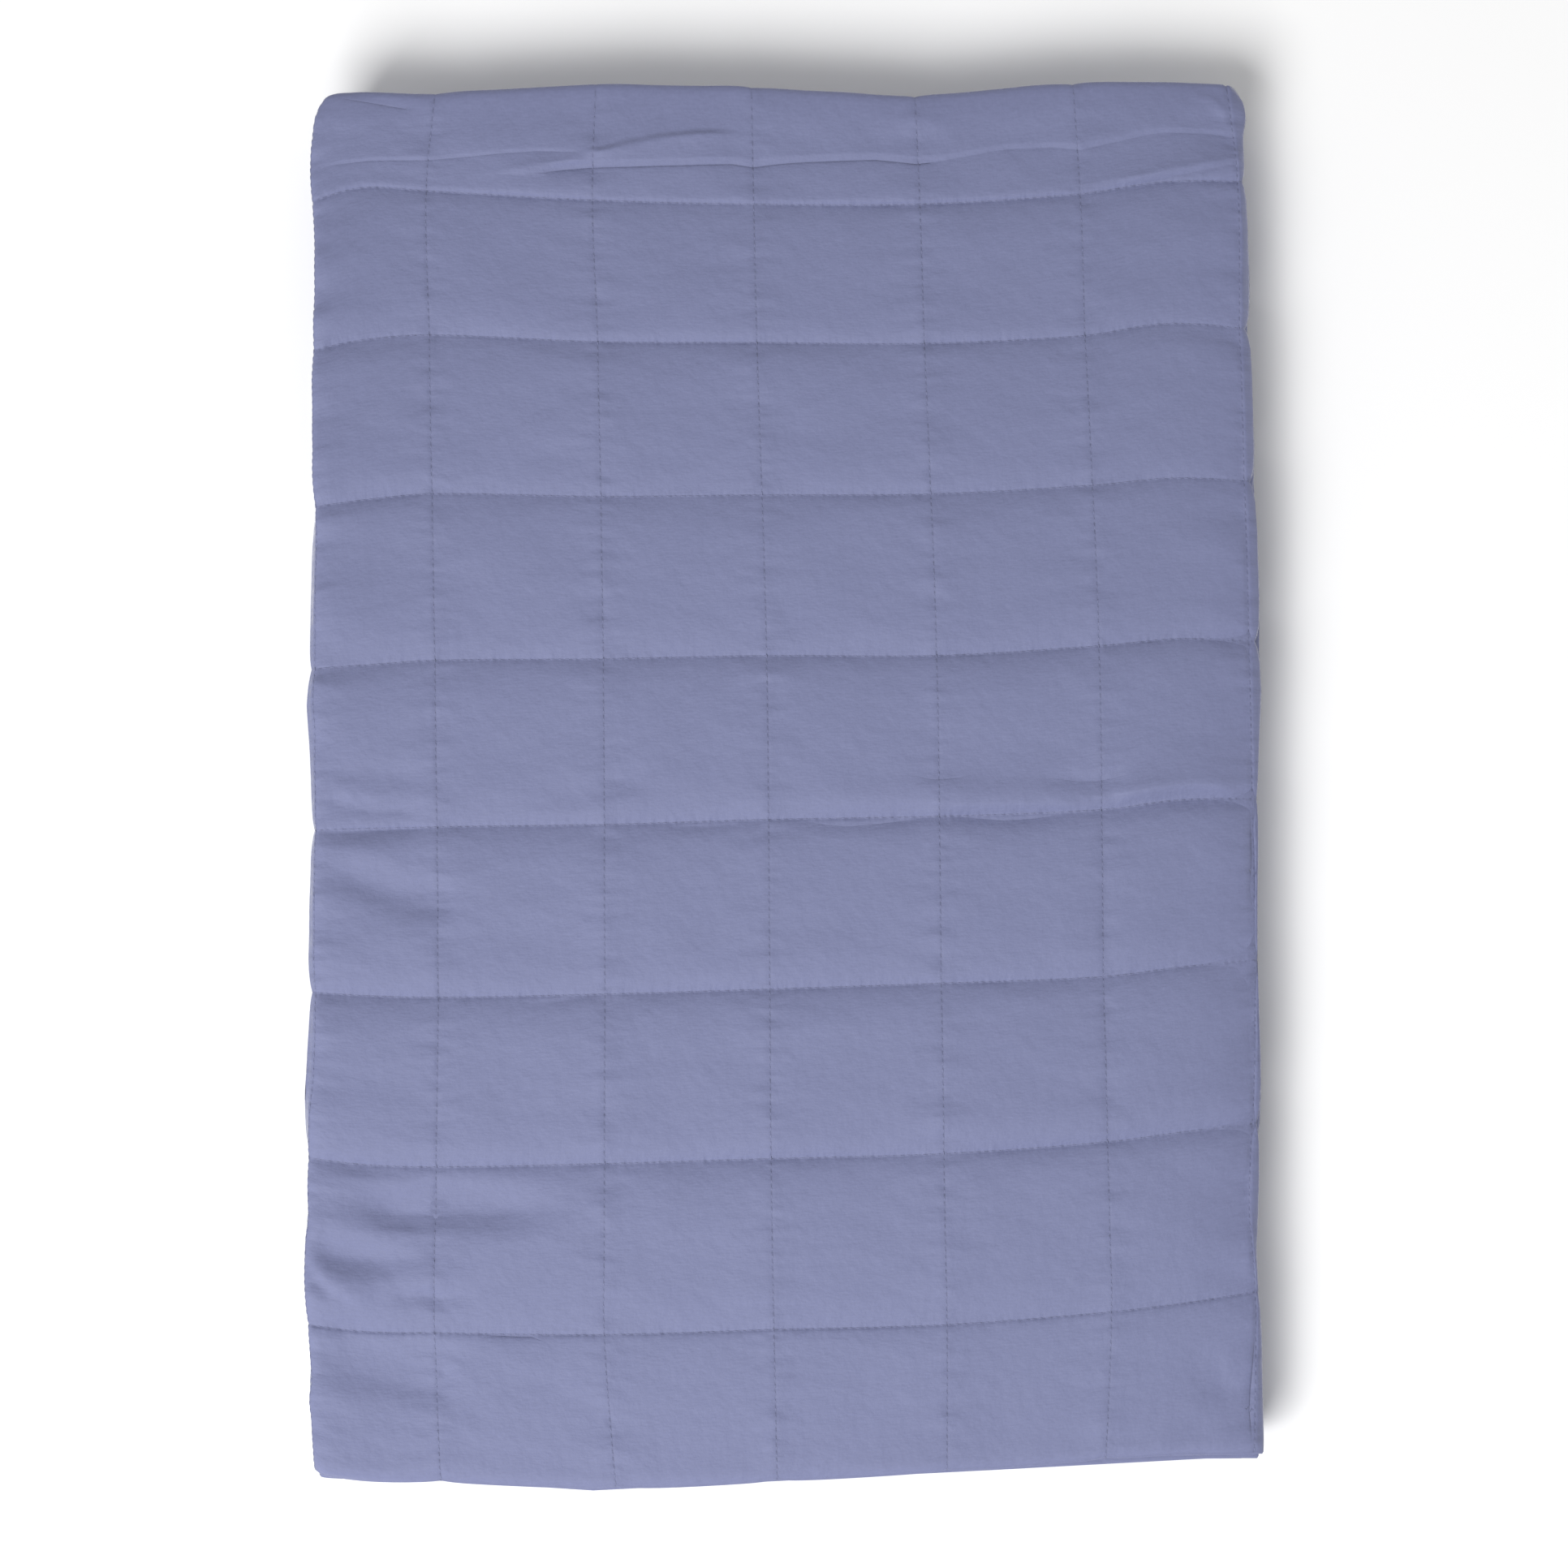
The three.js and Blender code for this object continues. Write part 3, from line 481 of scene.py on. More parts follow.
def relief(u, v, x, y):
    """Height of the top face over its stitched level: the squares, what draws them in, and the creases."""
    left, right, column = to_seams(u, SEAMS_U, (HEM_WIDTH, WIDTH))
    down, up, row = to_seams(v, SEAMS_V, (1, LENGTH))
    left, right, down, up = (np.maximum(gap, 0) for gap in (left, right, down, up))
    rise, fullness = (np.take(values, np.minimum(row, len(RISE) - 1)) for values in (RISE, FULLNESS))
    at_hem = sum(share * np.exp(-up / over) for over, share in HEM_ROW_FALL.items())
    full = (1 - np.exp(-down / rise)) * (1 - np.where(row == 0, at_hem, np.exp(-up / FALL)))
    height = CROWN * fullness * full
    over_strip = 1 - np.exp(-left / HEM_STRIP["over"])
    height += HEM_STRIP["height"] * over_strip * np.where(column == 0, right / SEAMS_U[0], 0)
    # The right side eases down towards its fold, and the left stands higher on the piled hems
    places = list(SIDES_LIE)
    eased, piled = np.array(list(SIDES_LIE.values()), float).T
    height -= np.interp(y, places, eased) * np.exp(-np.maximum(TOP_WIDTH - u, 0) / EASED_OVER)
    height += np.interp(y, places, piled) * np.exp(-u / PILED_OVER)
    # The lengthwise seams lie lower than the squares beside them
    narrow = np.exp(-left / STITCH_DIP["over"]) + np.exp(-right / STITCH_DIP["over"])
    height -= STITCH_DIP["depth"] * narrow * (STITCH_DIP["flat"] + (1 - STITCH_DIP["flat"]) * full)
    wide = np.exp(-left / SEAM_DIP["over"]) + np.exp(-right / SEAM_DIP["over"])
    height -= SEAM_DIP["depth"] * wide * full
    rolled = (1 - np.exp(-left / SIDE_ROLL["over"])) * (column == TOP_SEAMS_U)
    height += SIDE_ROLL["height"] * rolled * smoothstep(y, SIDE_ROLL["from"], SIDE_ROLL["to"])
    # Folds and unevenness
    in_square = smoothstep(np.minimum(down, up), 0, CLEAR_OF_SEAMS)
    held = HELD_AT_HEM["share"] * np.exp(-left / HELD_AT_HEM["over"])
    from_hem = np.where(column == 0, np.exp(-left / UNEVEN["hem"]["reach"]) - held, 0)
    from_fold = np.where(column == TOP_SEAMS_U - 1, np.exp(-right / UNEVEN["side fold"]["reach"]), 0)
    beside = np.exp(-left / UNEVEN["seams"]["reach"]) + np.exp(-right / UNEVEN["seams"]["reach"])
    for name, share in (("hem", from_hem), ("side fold", from_fold), ("seams", beside)):
        height += unevenness(name, u, v) * share * in_square
    height += full * (unevenness("filling", u, v) + unevenness("fine filling", u, v))
    return height - creased(x, y)[0]


def half_thickness(u, v, layer, turned, outer):
    """Half of the cloth's thickness: least on the stitches and at the hems, which are turned in."""
    left, right, _ = to_seams(u, SEAMS_U, (0, WIDTH))
    down, up, _ = to_seams(v, SEAMS_V, (0, LENGTH))
    gap = np.minimum(np.minimum(left, right), np.minimum(down, up))
    most = np.where(layer % 1 > 0, AT_SIDE_FOLD, FILLED)
    half = STITCHED + (most - STITCHED) * (1 - np.exp(-gap / FILLS_OVER))
    edge = np.minimum(np.minimum(u, WIDTH - u), np.minimum(v, LENGTH - v))
    rim = HEM * np.sqrt(np.clip(1 - (1 - np.clip(edge / RIM, 0, 1)) ** 2, RIM_LEAST, 1))
    half = np.where(edge < HEM_WIDTH, np.minimum(rim, np.maximum(half, HEM)), half)
    under = outer & (layer == LAYERS - 1) & (turned >= BUNDLES - 1)
    return np.where(under, FILLED, half)


SWAYS_FULLY = {"layer": (TOP_WIDTH + SWAY["from"], TOP_WIDTH + SWAY["to"]), "turned": (0.5, 1)}
TOP_RUNS_OUT = {"round side fold": (TOP_WIDTH - 2, TOP_WIDTH + 4), "round thick fold": (0.35, 0.95)}
END_STARTS = 2  # the top face's relief starts this far from its end hem


def drawn_in_at_sides(u, v, even_x, y, z, turned):
    """How far a point near the pack's sides lies inside the even outline."""
    down, up, _ = to_seams(v, SEAMS_V, (0, LENGTH))
    clear = np.minimum(v, LENGTH - v) > NOTCH["clear_of_ends"]
    at_seam = np.exp(-np.minimum(down, up) / NOTCH["length"]) * clear
    near_side = smoothstep(np.abs(even_x), SIDE_FOLD_X - SWAY["width"], SIDE_FOLD_X)
    near_edge = smoothstep(np.abs(even_x), NOTCH["from"], NOTCH["to"])
    turn_at = np.array([0, TOP_WIDTH, TOP_WIDTH + INNER_WIDTH, TOP_WIDTH + 2 * INNER_WIDTH, WIDTH])
    reach = np.take(REACH, np.abs(u[:, None] - turn_at).argmin(axis=1))
    hidden = smoothstep(u, *SWAYS_FULLY["layer"])
    below = 1 - (1 - hidden) * (1 - smoothstep(turned, *SWAYS_FULLY["turned"]))
    sway = SWAY["reach"] * np.sin(y / SWAY["length"] + z * SWAY["turn"])
    waves = soft_noise(y / EDGE_WAVES["length"], z / EDGE_WAVES["height"], EDGE_WAVES["seed"])
    inward = near_side * (below * sway - reach)
    return inward + near_edge * (NOTCH["depth"] * at_seam + EDGE_WAVES["depth"] * waves)


def folded_place(u, v, outer):
    """A point of the open cloth, on its outer or inner face, folded and laid as the real pack lies."""
    x, h, out_x, out_h, layer = fold_across(u)
    y, z, up_y, up_z, turned = fold_along(v, h)
    half = half_thickness(u, v, layer, turned, outer)
    face = np.where(outer, 1, -1) * half
    even_x = x + face * out_x
    h = h + face * out_h
    # The top layer stays up till it rolls over at the right
    span = SHARED_X[-1] - SHARED_X[-2]
    inward = np.clip(SHARED_X[-1] - even_x, 0, span)
    kept_up = ROLL["drop"] * (1 - inward / span - np.exp(-inward / ROLL["width"]))
    h = h + np.where((layer == 0) & (turned < 0.5), kept_up * (1 - smoothstep(turned, 0, 0.5)), 0)
    y, z = y + h * up_y, z + h * up_z
    x = even_x - np.sign(even_x) * drawn_in_at_sides(u, v, even_x, y, z, turned)
    # Each point drifts with the seams about it, and the bundles lean and thin out
    own_share = np.where((layer > 0) | (turned > 0.5), 0, 1 - turned)
    off_x, off_y = drift(x, y, own_share)
    hem_shift, hem_hang = hem_rolled(u, y + off_y, turned)
    lean = np.array(list(LEAN.values()), float)
    thin = THINNER["fold"] * smoothstep(y, THINNER["fold_from"], FAR_FOLD_Y)
    thin = thin + THINNER["hems"] * smoothstep(-y, -THINNER["hems_from"], -FIRST_END_Y)
    thin = thin + np.interp(x, SHARED_X, THINNER_ACROSS)
    # The ends: notches at the seams, the flaps under the top layer, and its corner
    left, right, _ = to_seams(u, SEAMS_U, (0, WIDTH))
    from_end = np.minimum(v, LENGTH - v)
    notch = END_NOTCH["depth"] * np.exp(-np.minimum(left, right) / END_NOTCH["length"])
    notch = notch * smoothstep(-from_end, -END_NOTCH["fade"], 0)
    flap = np.interp(x, list(END_FLAPS), list(END_FLAPS.values())) * (1 - smoothstep(v, 0, FLAPS_OVER))
    flap = np.where((layer > 0.5) & (turned < 0.5), flap, 0)
    corner = np.clip(1 - u / CORNER["across"], 0, 1) * np.clip(1 - v / CORNER["along"], 0, 1)
    corner = CORNER["drawn"] * corner**2 * (layer == 0)
    x = x + off_x + hem_shift + through(list(LEAN), lean[:, 0], z)
    y = y + off_y + through(list(LEAN), lean[:, 1], z) - np.sign(y) * notch + corner - flap
    z = z * (1 - thin) - hem_hang
    # The relief of the top face
    on_top = outer & (layer <= 0.5) & (turned < 1)
    share = np.where(on_top, 1 - smoothstep(turned, *TOP_RUNS_OUT["round thick fold"]), 0)
    share = share * smoothstep(u, 0, HEM_WIDTH) * (1 - smoothstep(u, *TOP_RUNS_OUT["round side fold"]))
    share = share * smoothstep(v, 0, END_STARTS)
    raised = np.zeros_like(z)
    shown = np.flatnonzero(share > 0)
    raised[shown] = relief(u[shown], v[shown], x[shown], y[shown])
    raised = (raised - (face - STITCHED)) * share
    z = z + raised * up_z
    y = y + raised * up_y
    return np.stack([x - BOX_CENTRE[0], y - BOX_CENTRE[1], np.maximum(z, 0)], axis=1) * MM


def between(marks, cuts):
    """Places from each mark to the next, each span cut evenly."""
    spans = [np.linspace(a, b, n, endpoint=False) for a, b, n in zip(marks, marks[1:], cuts)]
    return np.concatenate([*spans, [marks[-1]]])


# The open cloth lies flat first, as a grid with a line of it on every seam, dense where the folds turn
NEAR_LENGTHWISE = [0, 4, 14, 40, 75, 93]  # lines after each seam, closest beside the stitches
NEAR_CROSSING = [0, 3, 10, 24, 46, 70, 88, 97]
NEAR_FOLD = [10, 32, 160]  # and from each side fold of the layers below
FOLD_CUTS = 6


def after_seams(seams, near):
    """A line on each seam but the last, and those after it in its squares."""
    return [a + gap * (b - a) / SQUARE for a, b in zip(seams, seams[1:]) for gap in near]


round_fold = between([0, SIDE_TURN], [FOLD_CUTS])[1:]
across = [*NEAR_FOLD, *(INNER_WIDTH - gap for gap in reversed(NEAR_FOLD)), INNER_WIDTH]
lines_u = [0, RIM, *between([HEM_WIDTH, 20, SEAMS_U[0] - 5], [3, 4])]
lines_u += [*after_seams(SEAMS_U[:TOP_SEAMS_U], NEAR_LENGTHWISE), SEAMS_U[TOP_SEAMS_U - 1], TOP_WIDTH]
for n in range(1, LAYERS):
    width = INNER_WIDTH if n < LAYERS - 1 else TOP_WIDTH
    lines_u += [lines_u[-1] + gap for gap in round_fold]
    lines_u += [lines_u[-1] + gap * width / INNER_WIDTH for gap in across]
lines_u = [*lines_u[:-1], WIDTH - RIM, WIDTH]

tight, wide = (math.pi * (BUNDLE_RADIUS + side * TOP_LEVEL) for side in (-1, 1))
last_seam, second_turn = SEAMS_V[TOP_SEAMS_V - 1], LENGTH - (LAST_END_Y - NEAR_FOLD_Y)
lines_v = [0, RIM, *between([HEM_WIDTH, 20, SEAMS_V[0] - 10, SEAMS_V[0] - 3], [3, 4, 1])]
lines_v += after_seams(SEAMS_V[:TOP_SEAMS_V], NEAR_CROSSING)
lines_v += list(between(
    [last_seam, last_seam + 8, TOP_LENGTH - 4, TOP_LENGTH, TOP_LENGTH + tight, TOP_LENGTH + wide,
     second_turn - wide, second_turn - tight, second_turn, LENGTH - RIM, LENGTH],
    [2, 15, 1, 6, 8, 42, 8, 5, 44, 1],
))
FINE_PAST_FOLD = 22  # the top face is cut finer, up to this far round the thick fold

cloth_mesh = bpy.data.meshes.new("quilted_cloth")
bm = bmesh.new()
bmesh.ops.create_grid(bm, x_segments=len(lines_u) - 1, y_segments=len(lines_v) - 1, size=0.5)
for vert in bm.verts:
    i = round((vert.co.x + 0.5) * (len(lines_u) - 1))
    j = round((vert.co.y + 0.5) * (len(lines_v) - 1))
    vert.co = (lines_u[i], lines_v[j], -1)
outer_face = bmesh.ops.extrude_face_region(bm, geom=bm.faces[:], use_keep_orig=True)["geom"]
lifted = [part for part in outer_face if isinstance(part, bmesh.types.BMVert)]
bmesh.ops.translate(bm, verts=lifted, vec=(0, 0, 2))
shown = [
    part for part in outer_face
    if isinstance(part, bmesh.types.BMFace)
    and part.calc_center_median().x < TOP_WIDTH
    and part.calc_center_median().y < TOP_LENGTH + FINE_PAST_FOLD
]
edges = list(dict.fromkeys(edge for face in shown for edge in face.edges))
bmesh.ops.subdivide_edges(bm, edges=edges, cuts=3, use_grid_fill=True)
bmesh.ops.recalc_face_normals(bm, faces=bm.faces[:])
# Its faces are in order across the cloth and along it, so that the mesh is the same each time
for place, face in enumerate(sorted(bm.faces, key=lambda face: tuple(face.calc_center_median()))):
    face.index = place
bm.faces.sort()
bm.to_mesh(cloth_mesh)
bm.free()

flat = np.zeros(len(cloth_mesh.vertices) * 3, np.float32)
cloth_mesh.vertices.foreach_get("co", flat)
flat = flat.reshape(-1, 3).astype(float)
open_u, open_v, outer = flat[:, 0], flat[:, 1], flat[:, 2] > 0
placed = folded_place(open_u, open_v, outer)
cloth_mesh.vertices.foreach_set("co", placed.astype(np.float32).ravel())
uv = cloth_mesh.uv_layers.new(name="open_cloth")
corners = np.zeros(len(cloth_mesh.loops), np.int32)
cloth_mesh.loops.foreach_get("vertex_index", corners)
uv.data.foreach_set("uv", (flat[corners, :2] * MM).astype(np.float32).ravel())
left, right, _ = to_seams(open_u, SEAMS_U, (HEM_WIDTH, WIDTH - HEM_WIDTH))
down, up, _ = to_seams(open_v, SEAMS_V, (-SQUARE, LENGTH + SQUARE))
LINES_END = (TOP_WIDTH + 4, TOP_LENGTH + 40)  # no line is pressed in past these
on_top = outer & (open_u < LINES_END[0]) & (open_v < LINES_END[1])
top_x, top_y = placed[:, 0] / MM + BOX_CENTRE[0], placed[:, 1] / MM + BOX_CENTRE[1]
_, crease_gap, crease_line = creased(top_x, top_y)
surface_values = {
    "to_lengthwise": np.minimum(abs(left), abs(right)),
    "to_crossing": np.minimum(abs(down), abs(up)),
    "to_crease": crease_gap,
    "crease_line": np.where(on_top, crease_line, 0),
}
for name, value in surface_values.items():
    cloth_mesh.attributes.new(name, "FLOAT", "POINT").data.foreach_set("value", value.astype(np.float32))
cloth_mesh.update()
cloth_mesh.shade_smooth()
cloth = bpy.data.objects.new("quilted_cloth", cloth_mesh)
bpy.context.scene.collection.objects.link(cloth)


def new_node(tree, kind, links=(), **values):
    """A node with its settings, its inputs by number or name, and links as (input, socket)."""
    node = tree.nodes.new(kind)
    for name, value in values.items():
        if name.startswith("in_"):
            key = name[3:]
            node.inputs[int(key) if key.isdigit() else key.replace("_", " ")].default_value = value
        else:
            setattr(node, name, value)
    for key, socket in links:
        tree.links.new(socket, node.inputs[key])
    return node


def math_node(tree, operation, a, b=None, c=None):
    node = tree.nodes.new("ShaderNodeMath")
    node.operation = operation
    for k, value in enumerate((a, b, c)):
        if value is None:
            continue
        if isinstance(value, (int, float)):
            node.inputs[k].default_value = value
        else:
            tree.links.new(value, node.inputs[k])
    return node.outputs[0]


STITCH_PITCH = 4.5
COTTON, PLAIN_SHADE = (0.172, 0.187, 0.318, 1), 0.86
ROUGHNESS, SHINE, SHEEN, SHEEN_SPREAD = 0.55, 0.3, 0.8, 0.25
# What gives the cotton its look: swells to a metre across and along, how fine they are, how far they lighten
# it or make it rough, and their height in millimetres. Puckers fade out over reach, beside their seams.
FINISH = {
    "mottle": {"swells": (38.0, 38.0), "fine": 3.0, "shade": 0.06},
    "grain": {"swells": (620.0, 620.0), "fine": 2.0, "shade": 0.1, "height": 0.1, "rough": 0.2},
    "yarn": {"swells": (190.0, 820.0), "fine": 2.0, "shade": 0.15, "height": 0.14},
    "lumps": {"swells": (105.0, 105.0), "fine": 3.0, "height": 0.85},
    "lengthwise puckers": {"swells": (32.0, 92.0), "fine": 1.0, "start": 3.0, "height": 2.7, "reach": 12.0},
    "crossing puckers": {"swells": (230.0, 60.0), "fine": 1.0, "start": 8.0, "height": 1.3, "reach": 2.4},
}
# The stitch holes are darkened with painted shade, the shadow inside each hole: shade is how much darker a
# hole is painted
HOLE = {"length": 0.27, "width": 0.75, "lengthwise": 0.95, "shade": -0.36}  # length as a share of a stitch
TAKEN_UP = {"swells": (110.0, 110.0), "fine": 1.0, "spread": 3.2, "less": -1.0}  # some stitches are tighter
DIP = {"depth": 0.3, "less_between": 0.4, "over": 0.7}
# Painted shade along each lengthwise seam: how far it fades out, and how much darker it makes the cloth
PAINTED_SHADE_BESIDE_SEAM = {"over": 1.3, "shade": -0.078}
# Pressed crease lines: how far each fades out, and the painted shade along it; the same lines are also
# pressed in as a bump
PRESSED = {"over": 0.55, "shade": -0.18}

cotton = bpy.data.materials.new("quilted_cotton_sateen")
cotton.use_nodes = True
tree = cotton.node_tree
shader = tree.nodes["Principled BSDF"]
uv_map = new_node(tree, "ShaderNodeUVMap", uv_map="open_cloth").outputs[0]
split = new_node(tree, "ShaderNodeSeparateXYZ", [(0, uv_map)])
u_mm, v_mm = (math_node(tree, "DIVIDE", split.outputs[k], MM) for k in (0, 1))
gap_l, gap_c, gap_crease, crease_line = (
    new_node(tree, "ShaderNodeAttribute", attribute_name=name).outputs["Fac"] for name in surface_values
)


def pattern(look):
    """Soft unevenness from 0 to 1 over the open cloth."""
    start = look.get("start", 0.0)
    laid = new_node(
        tree, "ShaderNodeMapping", [("Vector", uv_map)],
        in_Scale=(*look["swells"], 1.0), in_Location=(start, start, 0.0),
    )
    links = [("Vector", laid.outputs[0])]
    return new_node(tree, "ShaderNodeTexNoise", links, in_Scale=1.0, in_Detail=look["fine"]).outputs[0]


def fading(gap, over):
    """1 on a line, less and less away from it."""
    return math_node(tree, "EXPONENT", math_node(tree, "DIVIDE", gap, -over))


def scaled(value, by):
    return math_node(tree, "MULTIPLY", value, by)


def to_stitch_end(along):
    """From 0 where the thread goes into the cloth to a half in the middle of a stitch."""
    return math_node(tree, "PINGPONG", math_node(tree, "DIVIDE", along, STITCH_PITCH), 0.5)


tightness = math_node(tree, "MULTIPLY_ADD", pattern(TAKEN_UP), TAKEN_UP["spread"], TAKEN_UP["less"])
tightness = math_node(tree, "MAXIMUM", tightness, 0)


def holes(along, gap):
    """Where the thread goes into the cloth, which is darkened there with painted shade: 1 in a hole, 0 away
    from it.
    """
    sides = [(to_stitch_end(along), HOLE["length"]), (gap, HOLE["width"])]
    into = [math_node(tree, "SUBTRACT", 1, math_node(tree, "DIVIDE", gone, size)) for gone, size in sides]
    into = [math_node(tree, "MAXIMUM", side, 0) for side in into]
    return scaled(scaled(*into), tightness)


def dip(along, gap):
    """How far the stitches draw the cloth down along a line, deepest at the holes, in millimetres."""
    deep = math_node(tree, "SUBTRACT", DIP["depth"], scaled(to_stitch_end(along), DIP["less_between"]))
    return scaled(deep, fading(gap, DIP["over"]))


patterns = {name: pattern(look) for name, look in FINISH.items()}
# Where painted shade goes in the stitch holes, less in the crossing seams than in the lengthwise ones
hole_shade_mask = math_node(tree, "MAXIMUM", scaled(holes(v_mm, gap_l), HOLE["lengthwise"]), holes(u_mm, gap_c))
# Where the pressed crease lines run: they are bumped in below, and darkened with painted shade
pressed = scaled(fading(math_node(tree, "ABSOLUTE", gap_crease), PRESSED["over"]), crease_line)
shades = [scaled(patterns[name], look["shade"]) for name, look in FINISH.items() if "shade" in look]
# Painted shade in the stitch holes and in a soft band along each lengthwise seam
shades += [scaled(hole_shade_mask, HOLE["shade"]), scaled(fading(gap_l, PAINTED_SHADE_BESIDE_SEAM["over"]), PAINTED_SHADE_BESIDE_SEAM["shade"])]
# Painted shade along the pressed crease lines
shades += [scaled(pressed, PRESSED["shade"])]
shade = PLAIN_SHADE
for part in shades:
    shade = math_node(tree, "ADD", shade, part)
colour = new_node(tree, "ShaderNodeMix", data_type="RGBA", blend_type="MULTIPLY", in_0=1.0)
colour.inputs[6].default_value = COTTON
grey = new_node(tree, "ShaderNodeCombineColor", [(k, shade) for k in range(3)])
tree.links.new(grey.outputs[0], colour.inputs[7])
tree.links.new(colour.outputs[2], shader.inputs["Base Color"])
rough = math_node(tree, "MULTIPLY_ADD", patterns["grain"], FINISH["grain"]["rough"], ROUGHNESS)
tree.links.new(rough, shader.inputs["Roughness"])

heights = [scaled(patterns[name], FINISH[name]["height"]) for name in ("grain", "yarn", "lumps")]
for name, gap in (("lengthwise puckers", gap_l), ("crossing puckers", gap_c)):
    fold = scaled(patterns[name], FINISH[name]["height"])
    heights.append(scaled(fold, fading(gap, FINISH[name]["reach"])))
height = math_node(tree, "MULTIPLY", math_node(tree, "MAXIMUM", dip(v_mm, gap_l), dip(u_mm, gap_c)), -1)
height = math_node(tree, "SUBTRACT", height, pressed)
for part in heights:
    height = math_node(tree, "ADD", height, part)
bump = new_node(tree, "ShaderNodeBump", [("Height", height)], in_Strength=1.0, in_Distance=MM)
tree.links.new(bump.outputs[0], shader.inputs["Normal"])
shader.inputs["Specular IOR Level"].default_value = SHINE
shader.inputs["Sheen Weight"].default_value = SHEEN
shader.inputs["Sheen Roughness"].default_value = SHEEN_SPREAD
cloth_mesh.materials.append(cotton)
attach(cloth, "root")
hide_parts("bedspread")

# ---------------------------------------------------------------------------
# The quilting thread
# Cotton thread of the cloth's colour, in stitches about 4.5 mm long that lie in the seams of the squares and
# along the turned-in edges.
# ---------------------------------------------------------------------------
THREAD = {"half_length": 1.6, "half_width": 0.24, "lift": 0.05}
SPUN_SHADES = [(0.15, 0.163, 0.28, 1), (0.21, 0.226, 0.38, 1)]
TWIST, SPUN_ROUGHNESS, SPUN_SHEEN = 900.0, 0.6, 0.2
SEWN_TO = (TOP_WIDTH + 2, TOP_LENGTH + 34)  # a little round the side fold and round the thick fold


def stitch_line(u_ends, v_ends):
    """Both ends of each stitch on one straight line of the open cloth."""
    run = math.hypot(u_ends[1] - u_ends[0], v_ends[1] - v_ends[0])
    middles = (np.arange(int(run / STITCH_PITCH)) + 0.5) * STITCH_PITCH
    return [
        (np.interp(middles + step, [0, run], u_ends), np.interp(middles + step, [0, run], v_ends))
        for step in (-THREAD["half_length"], THREAD["half_length"])
    ]


rows = [stitch_line((u, u), (0, SEWN_TO[1])) for u in [HEM_WIDTH, *SEAMS_U[:TOP_SEAMS_U]]]
rows += [stitch_line((0, SEWN_TO[0]), (v, v)) for v in SEAMS_V if v < SEWN_TO[1]]
both_ends = np.concatenate([np.array(row) for row in rows], axis=2)
starts, ends = (folded_place(u, v, True) for u, v in both_ends)
bm = bmesh.new()
for start, end in zip(starts, ends):
    way = Vector(end - start)
    turn = way.to_track_quat("X", "Z").to_matrix().to_4x4()
    size = Matrix.Diagonal((way.length / 2, THREAD["half_width"] * MM, THREAD["half_width"] * MM, 1))
    middle = Matrix.Translation(Vector((start + end) / 2) + Vector((0, 0, THREAD["lift"] * MM)))
    bmesh.ops.create_icosphere(bm, subdivisions=1, radius=1, matrix=middle @ turn @ size)
thread_mesh = bpy.data.meshes.new("quilting_thread")
bm.to_mesh(thread_mesh)
bm.free()
thread_mesh.shade_smooth()
thread = bpy.data.objects.new("quilting_thread", thread_mesh)
bpy.context.scene.collection.objects.link(thread)

spun = bpy.data.materials.new("quilting_thread_cotton")
spun.use_nodes = True
tree = spun.node_tree
shader = tree.nodes["Principled BSDF"]
place = new_node(tree, "ShaderNodeTexCoord").outputs["Object"]
twist = new_node(tree, "ShaderNodeTexNoise", [("Vector", place)], in_Scale=TWIST, in_Detail=1.0).outputs[0]
dark, light = SPUN_SHADES
twisted = new_node(tree, "ShaderNodeMix", [(0, twist)], data_type="RGBA", in_6=dark, in_7=light)
tree.links.new(twisted.outputs[2], shader.inputs["Base Color"])
shader.inputs["Roughness"].default_value = SPUN_ROUGHNESS
shader.inputs["Sheen Weight"].default_value = SPUN_SHEEN
thread_mesh.materials.append(spun)
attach(thread, "root")

# ---------------------------------------------------------------------------
# The room
# A plain pale floor, a large soft light from the lower left, three weak ones that stand for pale walls, and
# an even pale sky.
# ---------------------------------------------------------------------------
FLOOR_REACH, FLOOR_SHADE, FLOOR_ROUGHNESS, SKY_STRENGTH = 8, 0.94, 0.9, 0.38
LIGHTS = {  # direction on the floor, elevation in degrees, distance, width and height in metres, watts
    "softbox": ((-0.6, -0.9, 0), 52.5, 3.8, 2.0, 2.0, 149),
    "right wall": ((1, 0.1, 0), 10, 2.4, 1.6, 0.7, 9),
    "left wall": ((-1, -0.3, 0), 10, 2.4, 1.6, 0.7, 7),
    "far wall": ((0.1, 1, 0), 12, 2.4, 1.6, 0.7, 6),
}
bm = bmesh.new()
bmesh.ops.create_grid(bm, x_segments=1, y_segments=1, size=FLOOR_REACH)
floor_mesh = bpy.data.meshes.new("floor")
bm.to_mesh(floor_mesh)
bm.free()
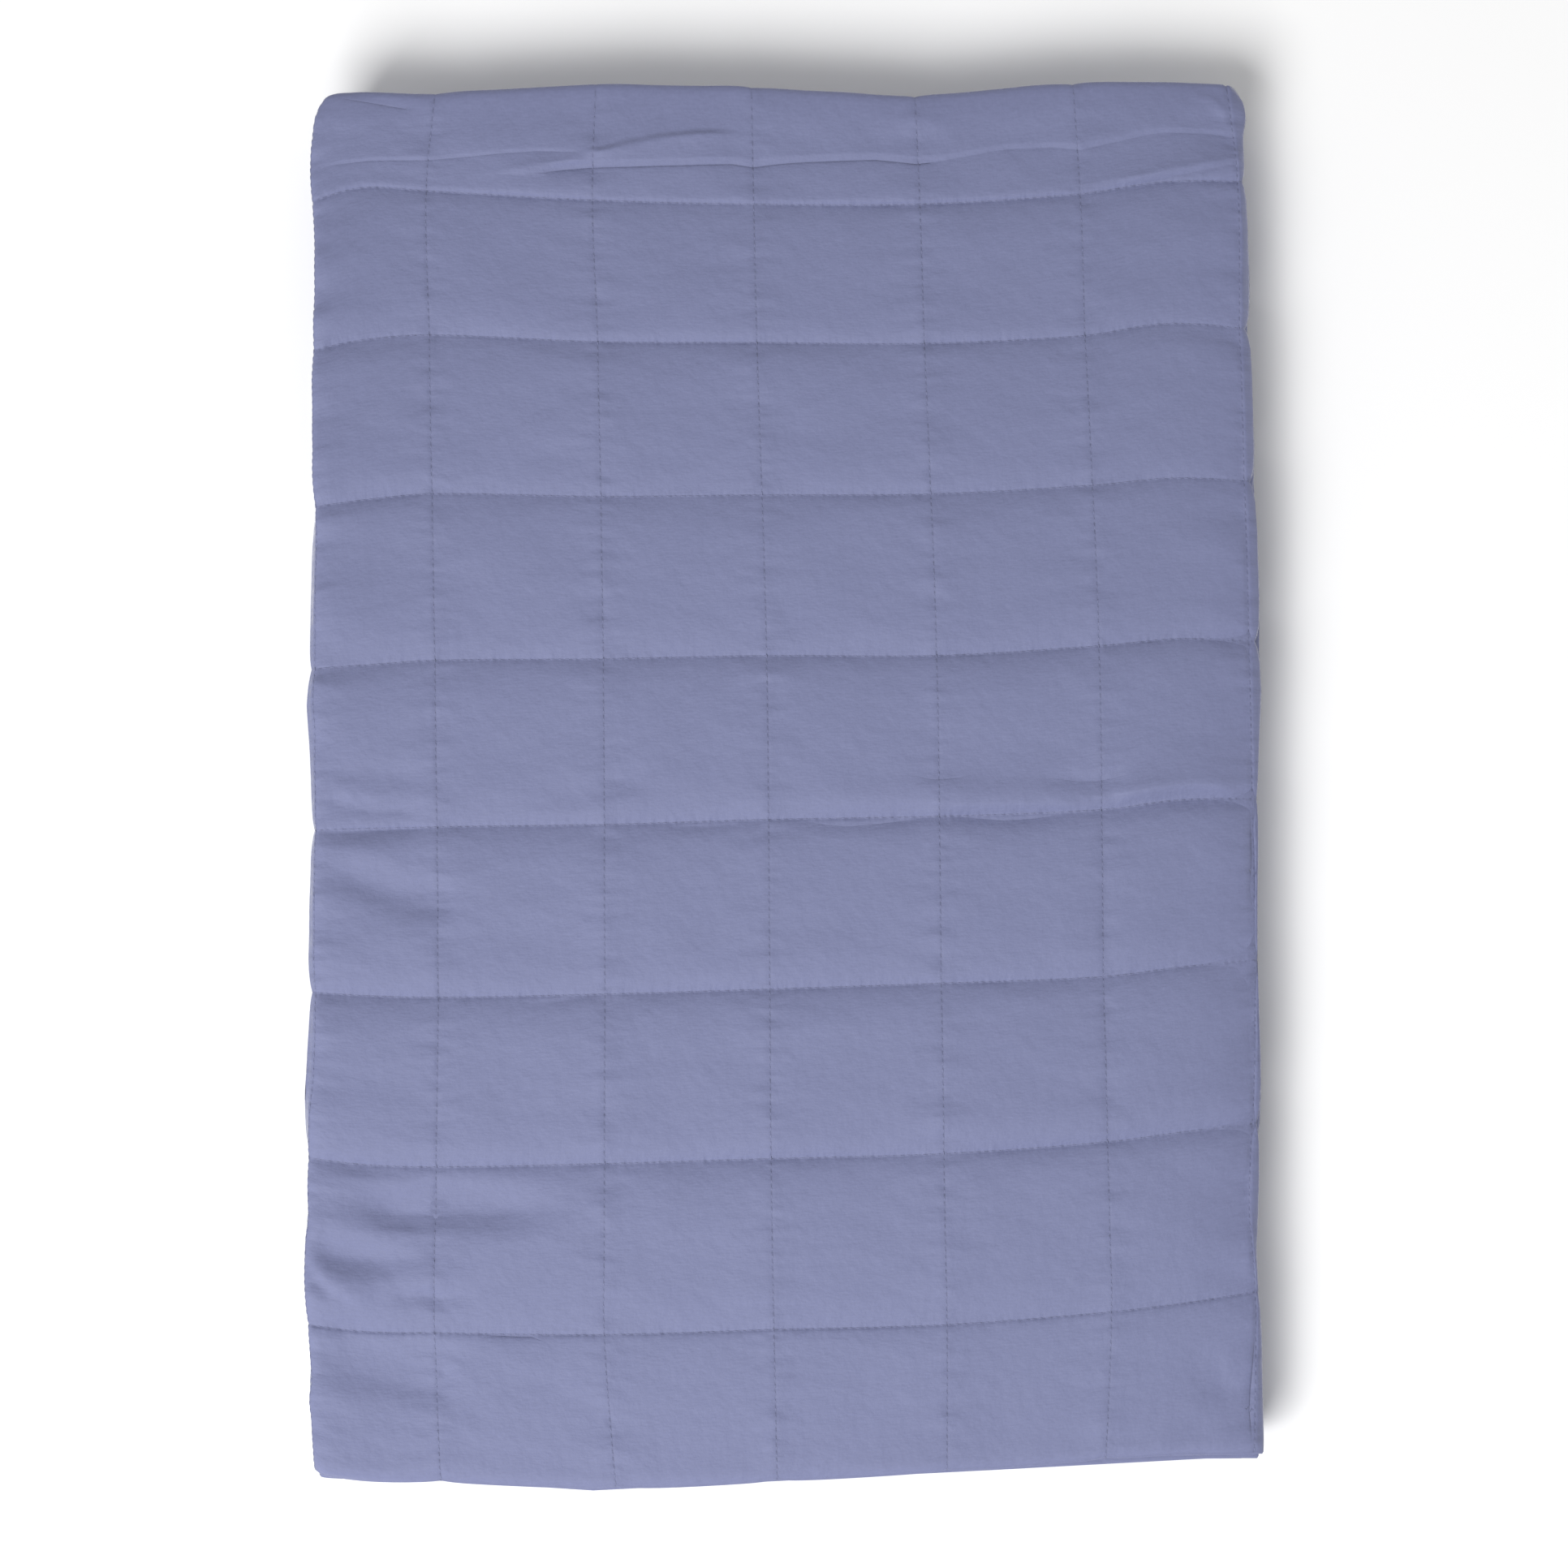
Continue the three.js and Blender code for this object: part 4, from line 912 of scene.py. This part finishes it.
floor = bpy.data.objects.new("floor", floor_mesh)
bpy.context.scene.collection.objects.link(floor)
pale = bpy.data.materials.new("pale_floor")
pale.use_nodes = True
shader = pale.node_tree.nodes["Principled BSDF"]
shader.inputs["Base Color"].default_value = (FLOOR_SHADE, FLOOR_SHADE, FLOOR_SHADE, 1)
shader.inputs["Roughness"].default_value = FLOOR_ROUGHNESS
floor_mesh.materials.append(pale)

sky = bpy.data.worlds.new("pale_room")
sky.use_nodes = True
sky.node_tree.nodes["Background"].inputs["Color"].default_value = (1, 1, 1, 1)
sky.node_tree.nodes["Background"].inputs["Strength"].default_value = SKY_STRENGTH
bpy.context.scene.world = sky

for name, (way, elevation, distance, width, tall, watts) in LIGHTS.items():
    rise = math.radians(elevation)
    to_light = Vector(way).normalized() * math.cos(rise) + Vector((0, 0, math.sin(rise)))
    lamp = bpy.data.lights.new(name, "AREA")
    lamp.shape = "RECTANGLE"
    lamp.size, lamp.size_y = width, tall
    lamp.energy = watts
    light = bpy.data.objects.new(name, lamp)
    light.location = to_light * distance
    light.rotation_euler = to_light.to_track_quat("Z", "Y").to_euler()
    bpy.context.scene.collection.objects.link(light)

# ---------------------------------------------------------------------------
# The camera
# It looks down on the pack from 2.4 m over its top face, a little from the side of the hems.
# ---------------------------------------------------------------------------
PIXELS_PER_MM, FRAME_PX, FAR_OFF, TILT = 2.035, 1932, 2400, math.radians(3)
SENSOR, FACE_LEVEL = 36, 64
lens = bpy.data.cameras.new("camera")
lens.sensor_width = SENSOR
lens.lens = SENSOR * PIXELS_PER_MM * FAR_OFF / FRAME_PX
camera = bpy.data.objects.new("camera", lens)
camera.location = (
    -BOX_CENTRE[0] * MM,
    (-BOX_CENTRE[1] - FAR_OFF * math.sin(TILT)) * MM,
    (FACE_LEVEL + FAR_OFF * math.cos(TILT)) * MM,
)
camera.rotation_euler = (TILT, 0, 0)
bpy.context.scene.collection.objects.link(camera)
bpy.context.scene.camera = camera
bpy.context.scene.view_settings.view_transform = "Standard"
